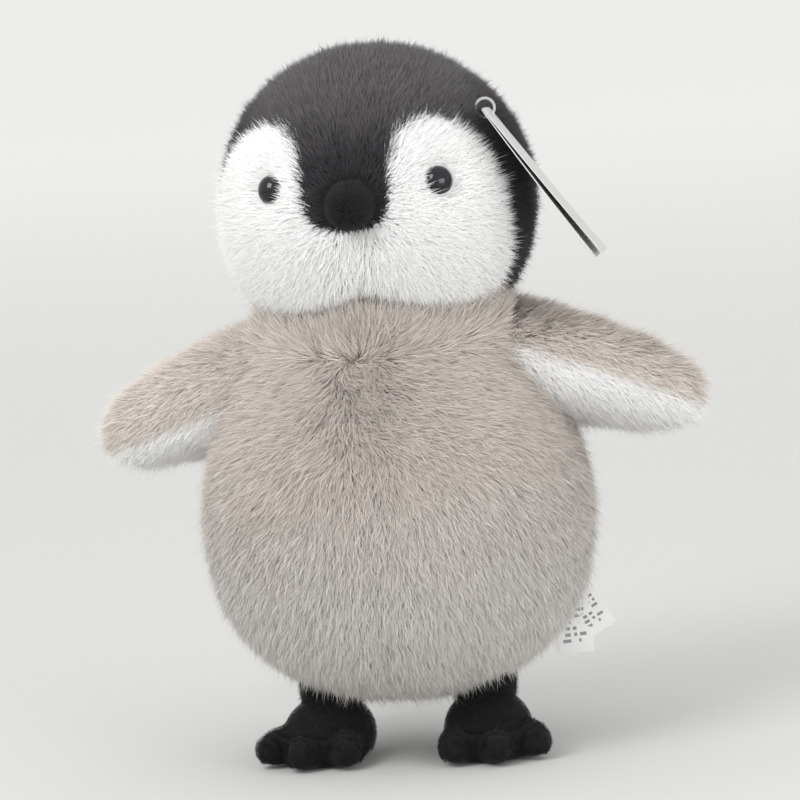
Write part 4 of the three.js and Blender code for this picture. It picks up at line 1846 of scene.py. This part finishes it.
def sheet(
    name: str,
    rim: Sequence[tuple[float, float]],
    hole: Sequence[tuple[float, float]],
    curl: Callable[[float, float], float],
    thickness: float,
) -> bpy.types.Object:
    """A thin sheet of any outline, with its print's place and its front face marked.

    Args:
        name: The object's name.
        rim: The outline, across and up, in metres.
        hole: The outline of a hole in it, or nothing.
        curl: How far the sheet stands out at a place across and up.
        thickness: How thick it is.

    Returns:
        A closed sheet in its own axes: X out of its front, Y across it, Z up it.
    """
    mesh = bmesh.new()
    for loop in (rim, hole):
        made = [mesh.verts.new((0.0, across, up)) for across, up in loop]
        for first, second in zip(made, made[1:] + made[:1]):
            mesh.edges.new((first, second))
    bmesh.ops.triangle_fill(mesh, use_beauty=True, edges=mesh.edges[:])
    heights = [up for _, up in rim]
    for up in np.linspace(min(heights), max(heights), 14)[1:-1]:
        parts = mesh.verts[:] + mesh.edges[:] + mesh.faces[:]
        bmesh.ops.bisect_plane(mesh, geom=parts, plane_co=(0.0, 0.0, up), plane_no=(0.0, 0.0, 1.0))
    made = mesh_object(name, np.zeros((0, 3)), [])
    mesh.to_mesh(made.data)
    mesh.free()
    flat = positions(made)
    count = len(flat)
    faces = [list(face.vertices) for face in made.data.polygons]
    if made.data.polygons[0].normal.x < 0.0:
        faces = [face[::-1] for face in faces]
    out = np.array([curl(across, up) for across, up in flat[:, 1:]])
    front, back = flat.copy(), flat.copy()
    front[:, 0] = out + thickness / 2
    back[:, 0] = out - thickness / 2
    sides: dict[tuple[int, int], int] = {}
    for face in faces:
        for first, second in zip(face, face[1:] + face[:1]):
            sides[(first, second)] = sides.get((first, second), 0) + 1
    border = [pair for pair in sides if pair[::-1] not in sides]
    solid = faces + [[corner + count for corner in face[::-1]] for face in faces]
    solid += [[second, first, first + count, second + count] for first, second in border]
    bpy.data.objects.remove(made)
    sheet_object = mesh_object(name, np.vstack([front, back]), solid, False)
    low, high = min(heights), max(heights)
    span = max(across for across, _ in rim) * 2.0
    marks = {
        "across": np.tile(flat[:, 1] / span, 2),
        "along": np.tile((high - flat[:, 2]) / (high - low), 2),
        "front": np.repeat((1.0, 0.0), count),
    }
    for label, values in marks.items():
        store(sheet_object, label, values)
    return sheet_object


def rounded(low: tuple[float, float], high: tuple[float, float], radius: float) -> list:
    """The outline of an upright oblong with round corners, anticlockwise.

    Args:
        low: Its lower left corner.
        high: Its upper right corner.
        radius: The corners' radius.

    Returns:
        Its points, each across and up.
    """
    points = []
    centres = (
        (high[0] - radius, high[1] - radius), (low[0] + radius, high[1] - radius),
        (low[0] + radius, low[1] + radius), (high[0] - radius, low[1] + radius),
    )
    for quarter, (across, up) in enumerate(centres):
        for step in range(6):
            turn = math.radians(90.0 * quarter + 18.0 * step)
            points.append((across + radius * math.cos(turn), up + radius * math.sin(turn)))
    return points


def joined(name: str, parts: Sequence[bpy.types.Object]) -> bpy.types.Object:
    """Joins objects into one, under the given name.

    Args:
        name: The object's name.
        parts: The objects, which become one.

    Returns:
        The object.
    """
    with bpy.context.temp_override(
        active_object=parts[0], object=parts[0], selected_editable_objects=list(parts)
    ):
        bpy.ops.object.join()
    parts[0].name = name
    return parts[0]


def build_card() -> None:
    """Makes the folded swing tag: two leaves that part towards the free end."""
    card = CardPlace()
    low = (-card.width / 2, card.margin - card.length)
    rim = rounded(low, (card.width / 2, card.margin), card.corner)
    turns = np.linspace(0.0, 2.0 * math.pi, 20, endpoint=False)
    hole = [(card.hole * math.cos(turn), card.hole * math.sin(turn)) for turn in turns]

    def outer(across: float, up: float) -> float:
        """The front leaf parts from the back one and curls out a little at its end."""
        part = max(0.0, -up) / card.length
        return card.gap + card.opening * part + card.curl * part**3

    def inner(across: float, up: float) -> float:
        """The back leaf bows slightly."""
        part = max(0.0, -up) / card.length
        return -card.gap - card.bow * math.sin(math.pi * part)

    leaves = [
        sheet("card_front", rim, hole, outer, card.thickness),
        sheet("card_back", rim, hole, inner, card.thickness),
    ]
    tag = joined("tag_leaves", leaves)
    move_to(tag, placed(positions(tag), card.matrix()))
    Piece("tag", "tag_card", ("swing_tag",)).settle(tag, Finish.CARD)


@dataclass(frozen=True)
class Ribbon:
    """One leaf of the care label: how it leans and waves, and its size."""

    name: str
    lean: float
    length: float
    offset: float
    half_width: float = 9.5 * MM
    corner: float = 0.4 * MM
    thickness: float = 0.28 * MM


def build_label() -> None:
    """Makes the folded satin care label: two leaves sewn in the side seam."""
    low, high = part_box("care_label")
    seam_inset, seam_drop = 9.8 * MM, 5.0 * MM
    root = Vector((low.x + seam_inset, (low.y + high.y) / 2, high.z - seam_drop))
    leaves = []
    for ribbon in (Ribbon("upper", 31.0, 30.0 * MM, -0.5), Ribbon("lower", 4.0, 36.0 * MM, 0.5)):
        rim = rounded((-ribbon.half_width, -ribbon.length), (ribbon.half_width, 0.0), ribbon.corner)

        def wave(across: float, up: float, offset: float = ribbon.offset) -> float:
            """A soft wave down the ribbon."""
            return (offset + 0.8 * math.sin(up * 160.0 + across * 60.0 + offset)) * MM

        leaf = sheet(f"label_{ribbon.name}", rim, (), wave, ribbon.thickness)
        turn = Matrix.Rotation(math.radians(-ribbon.lean), 4, "Y")
        turn = turn @ Matrix.Rotation(-math.pi / 2, 4, "Z")
        move_to(leaf, placed(positions(leaf), Matrix.Translation(root) @ turn))
        leaves.append(leaf)
    label = joined("label_leaves", leaves)
    Piece("torso", "satin_label", ("care_label",)).settle(label, Finish.SATIN)


def press_under_card(fur: bpy.types.Object) -> None:
    """Presses the strands that would pass through the swing tag flat behind it.

    Args:
        fur: A coat on the tag's side of the head.
    """
    card = CardPlace()
    local = placed(positions(fur), card.matrix().inverted())
    over = (np.abs(local[:, 1]) < card.width / 2) & (local[:, 2] < card.margin)
    over &= (local[:, 2] > -card.length) & (local[:, 0] > -card.clearance)
    left_over = 0.12
    local[over, 0] = -card.clearance - left_over * (local[over, 0] + card.clearance)
    move_to(fur, placed(local, card.matrix()))


def main() -> None:
    """Builds the toy part by part."""
    logging.basicConfig(level=logging.INFO, format="%(message)s")
    make_stage()
    torso = Torso()
    torso.build_skin()
    torso.build_coat()
    torso.dress()
    head = Head()
    head.build_skin()
    head.build_coat()
    head.dress()
    head.build_eyes()
    head.build_beak()
    for side in Side:
        wing = Wing(side)
        wing.build_skin()
        wing.build_coat()
        wing.dress()
        leg = Leg(side)
        leg.build_foot()
        leg.build_shank()
    build_card()
    build_label()
    dress_cad()


def dress_cad() -> None:
    """Gives each CAD node that stays its own finish."""
    finishes = {
        "neck_stuffing": Finish.FILLING,
        "eye_washer_left": Finish.NYLON,
        "eye_washer_right": Finish.NYLON,
        "tag_loop": Finish.NYLON,
    }
    for name, finish in finishes.items():
        node = frame["nodes"][name]
        node.data.materials.clear()
        node.data.materials.append(finish.material())


def make_stage() -> None:
    """Sets the camera, the pale floor and the soft studio light."""
    scene = bpy.context.scene
    view = bpy.data.cameras.new("camera")
    camera = bpy.data.objects.new("camera", view)
    scene.collection.objects.link(camera)
    target = Vector((0.0046, 0.0, 0.1766))
    azimuth, elevation, roll = (math.radians(angle) for angle in (10, 7, 4))
    distance, seen_width, sensor_width = 2.2, 0.397, 36.0
    out = Vector((
        math.sin(azimuth) * math.cos(elevation),
        -math.cos(azimuth) * math.cos(elevation),
        math.sin(elevation),
    ))
    look = (-out).to_track_quat("-Z", "Y").to_matrix().to_4x4()
    look = look @ Matrix.Rotation(-roll, 4, "Z")
    camera.matrix_world = Matrix.Translation(target + out * distance) @ look
    view.lens = sensor_width * distance / seen_width
    scene.camera = camera

    reach = 24.0
    steps = np.linspace(-reach, reach, 25)
    points = np.array([(x, y, 0.0) for y in steps for x in steps])
    count = len(steps)
    corners = [row * count + k for row in range(count - 1) for k in range(count - 1)]
    faces = [(k, k + 1, k + count + 1, k + count) for k in corners]
    floor = mesh_object("floor", points, faces)
    material, graph, surface = blank_material("pale_floor")
    _, depth, _ = graph.axes(graph.place())
    # painted shade: the floor's colour is darker near the front and lighter far back, standing in for
    # the fall of light
    near, far = (0.62, 0.62, 0.605), (0.88, 0.88, 0.87)
    painted_falloff = graph.mix(graph.ramp(depth, -0.4, 5.0), near, far)
    graph.tree.links.new(painted_falloff.output, surface.inputs["Base Color"])
    surface.inputs["Roughness"].default_value = 0.9
    floor.data.materials.append(material)

    world = bpy.data.worlds.new("studio")
    world.use_nodes = True
    world.node_tree.nodes["Background"].inputs["Color"].default_value = (1.0, 1.0, 0.995, 1.0)
    world.node_tree.nodes["Background"].inputs["Strength"].default_value = 0.95
    scene.world = world
    lamps = (("key", (-0.9, -1.4, 1.5), 22.0, 1.0), ("fill", (1.4, -1.2, 0.25), 16.0, 1.2))
    for name, place, power, size in lamps:
        lamp = bpy.data.lights.new(name, "AREA")
        lamp.energy, lamp.size = power, size
        holder = bpy.data.objects.new(name, lamp)
        holder.location = place
        aim = Vector((0.0, 0.0, 0.18)) - Vector(place)
        holder.rotation_euler = aim.to_track_quat("-Z", "Y").to_euler()
        scene.collection.objects.link(holder)
    scene.view_settings.view_transform = "Standard"


if __name__ == "__main__":
    main()
